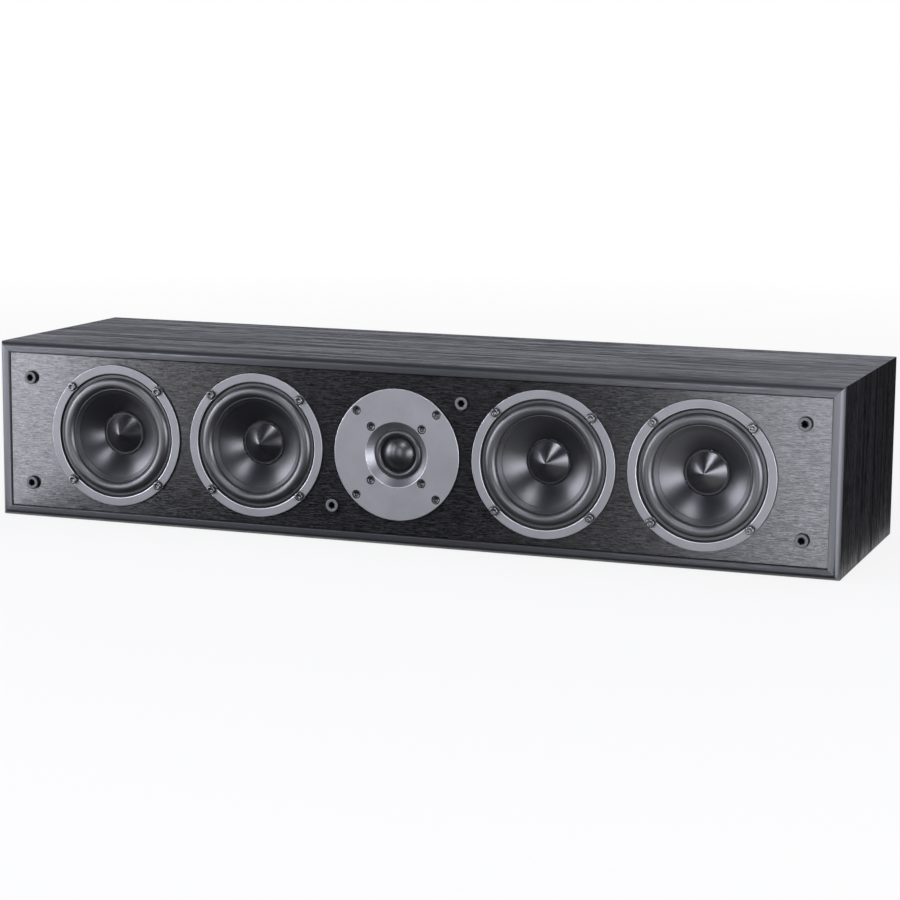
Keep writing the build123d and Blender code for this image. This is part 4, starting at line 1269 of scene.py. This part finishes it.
def dark_cloth():
    """Dark cloth of the cards and the room, which only reflections see."""
    f = Finish("dark_cloth", (0.01, 0.01, 0.01), roughness=0.9, specular_ior_level=0.0)
    f.drive("Base Color", f.shades(f.noise(400.0, 2.0, 0.5), (0.3, 0.8), (0.7, 1.2)))
    return f.material


def thinned_cloth():
    """Dark cloth that thins out along a slanted edge on the right, so the edge leaves no line."""
    f = Finish("thinned_cloth", (0.01, 0.01, 0.01), roughness=0.9, specular_ior_level=0.0)
    x, y, _ = f.parts(f.place())
    across = x - (y + 0.11) * 0.257
    clear = f.node("BsdfTransparent").outputs["BSDF"]
    f.mixed(across.spread(0.04, 0.34, 0, 1), f.surface.outputs["BSDF"], clear)
    return f.material


def only_mirrored(sheet, cloth):
    """Hides a cloth from the camera and from the light, but not from reflections."""
    sheet.data.materials.append(cloth)
    sheet.visible_camera = False
    sheet.visible_diffuse = False
    sheet.visible_shadow = False
    sheet.visible_transmission = False


def card(name, cloth, *corners):
    """Card between four corners, on the floor where they give no height."""
    leave_all()
    bpy.ops.mesh.primitive_plane_add(size=1, location=(0, 0, 0))
    sheet = named(bpy.context.object, name)
    for vertex, corner in zip((0, 1, 3, 2), corners):
        sheet.data.vertices[vertex].co = (*corner, 0.0005)[:3]
    only_mirrored(sheet, cloth)


def dark_room(cloth):
    """Cloth round and over the camera's side of the studio."""
    radius, height, back = 3.2, 3.2, 0.9
    leave_all()
    bpy.ops.mesh.primitive_cylinder_add(vertices=64, radius=radius, depth=height, end_fill_type='NGON',
                                        location=(0, 0, 0))
    room = named(bpy.context.object, "dark_room")
    choose_faces(room, lambda c, n: c.y > back or n.z < -0.5)
    bpy.ops.mesh.delete(type='FACE')
    bpy.ops.mesh.select_all(action='SELECT')
    bpy.ops.mesh.bisect(plane_co=(0, back, 0), plane_no=(0, 1, 0), clear_outer=True)
    bpy.ops.mesh.select_all(action='SELECT')
    bpy.ops.transform.translate(value=(0, 0, height / 2))
    leave_all()
    only_mirrored(room, cloth)


def camera(context):
    """Camera at the photograph's viewing angle."""
    yaw, pitch, roll = radians(20.26), radians(-9.09), radians(0.50)
    ahead = Vector((-sin(yaw) * cos(pitch), cos(yaw) * cos(pitch), sin(pitch)))
    right = Vector((cos(yaw), sin(yaw), 0))
    up = right.cross(ahead)
    tilted = cos(roll) * right + sin(roll) * up
    upright = cos(roll) * up - sin(roll) * right
    place = (0.6735, -1.80575, 0.3661)
    lens = bpy.data.cameras.new("studio_camera")
    lens.lens = 101.64
    lens.sensor_width = 36
    lens.clip_start = 0.05
    lens.clip_end = 100
    eye = bpy.data.objects.new("studio_camera", lens)
    context.scene.collection.objects.link(eye)
    turn = Matrix((tilted, upright, -ahead)).transposed()
    eye.matrix_world = Matrix.Translation(place) @ turn.to_4x4()
    context.scene.camera = eye


class SPEAKER_PT_panel(Panel):
    """Lists the settings and the steps of the speaker"""
    bl_label = "Center Channel Speaker"
    bl_idname = "SPEAKER_PT_panel"
    bl_space_type = 'VIEW_3D'
    bl_region_type = 'UI'
    bl_category = "Speaker"

    def draw(self, context):
        settings = context.scene.speaker
        for name in settings.__annotations__:
            group = getattr(settings, name)
            box = self.layout.box()
            for key in group.__annotations__:
                box.prop(group, key)
        for operator in OPERATORS:
            self.layout.operator(operator.bl_idname)


OPERATORS = (
    SPEAKER_OT_cabinet_sleeve, SPEAKER_OT_trim_rings, SPEAKER_OT_woofer_screws, SPEAKER_OT_surrounds,
    SPEAKER_OT_cones, SPEAKER_OT_dust_caps, SPEAKER_OT_tweeter_plate, SPEAKER_OT_tweeter_dome,
    SPEAKER_OT_tweeter_screws, SPEAKER_OT_grille_sockets, SPEAKER_OT_port, SPEAKER_OT_terminal_caps,
    SPEAKER_OT_terminal_screws, SPEAKER_OT_kept_parts, SPEAKER_OT_stage,
)
CLASSES = (CabinetSizes, WooferSizes, TweeterSizes, FittingSizes, FinishColours, SpeakerSettings,
           *OPERATORS, SPEAKER_PT_panel)


def register():
    """Registers the classes and the settings."""
    for item in CLASSES:
        bpy.utils.register_class(item)
    bpy.types.Scene.speaker = PointerProperty(type=SpeakerSettings)


def unregister():
    """Removes the settings and the classes."""
    del bpy.types.Scene.speaker
    for item in reversed(CLASSES):
        bpy.utils.unregister_class(item)


def main():
    register()
    bpy.ops.speaker.cabinet_sleeve()
    bpy.ops.speaker.trim_rings()
    bpy.ops.speaker.woofer_screws()
    bpy.ops.speaker.surrounds()
    bpy.ops.speaker.cones()
    bpy.ops.speaker.dust_caps()
    bpy.ops.speaker.tweeter_plate()
    bpy.ops.speaker.tweeter_dome()
    bpy.ops.speaker.tweeter_screws()
    bpy.ops.speaker.grille_sockets()
    bpy.ops.speaker.port()
    bpy.ops.speaker.terminal_caps()
    bpy.ops.speaker.terminal_screws()
    bpy.ops.speaker.kept_parts()
    bpy.ops.speaker.stage()


if __name__ == "__main__":
    main()
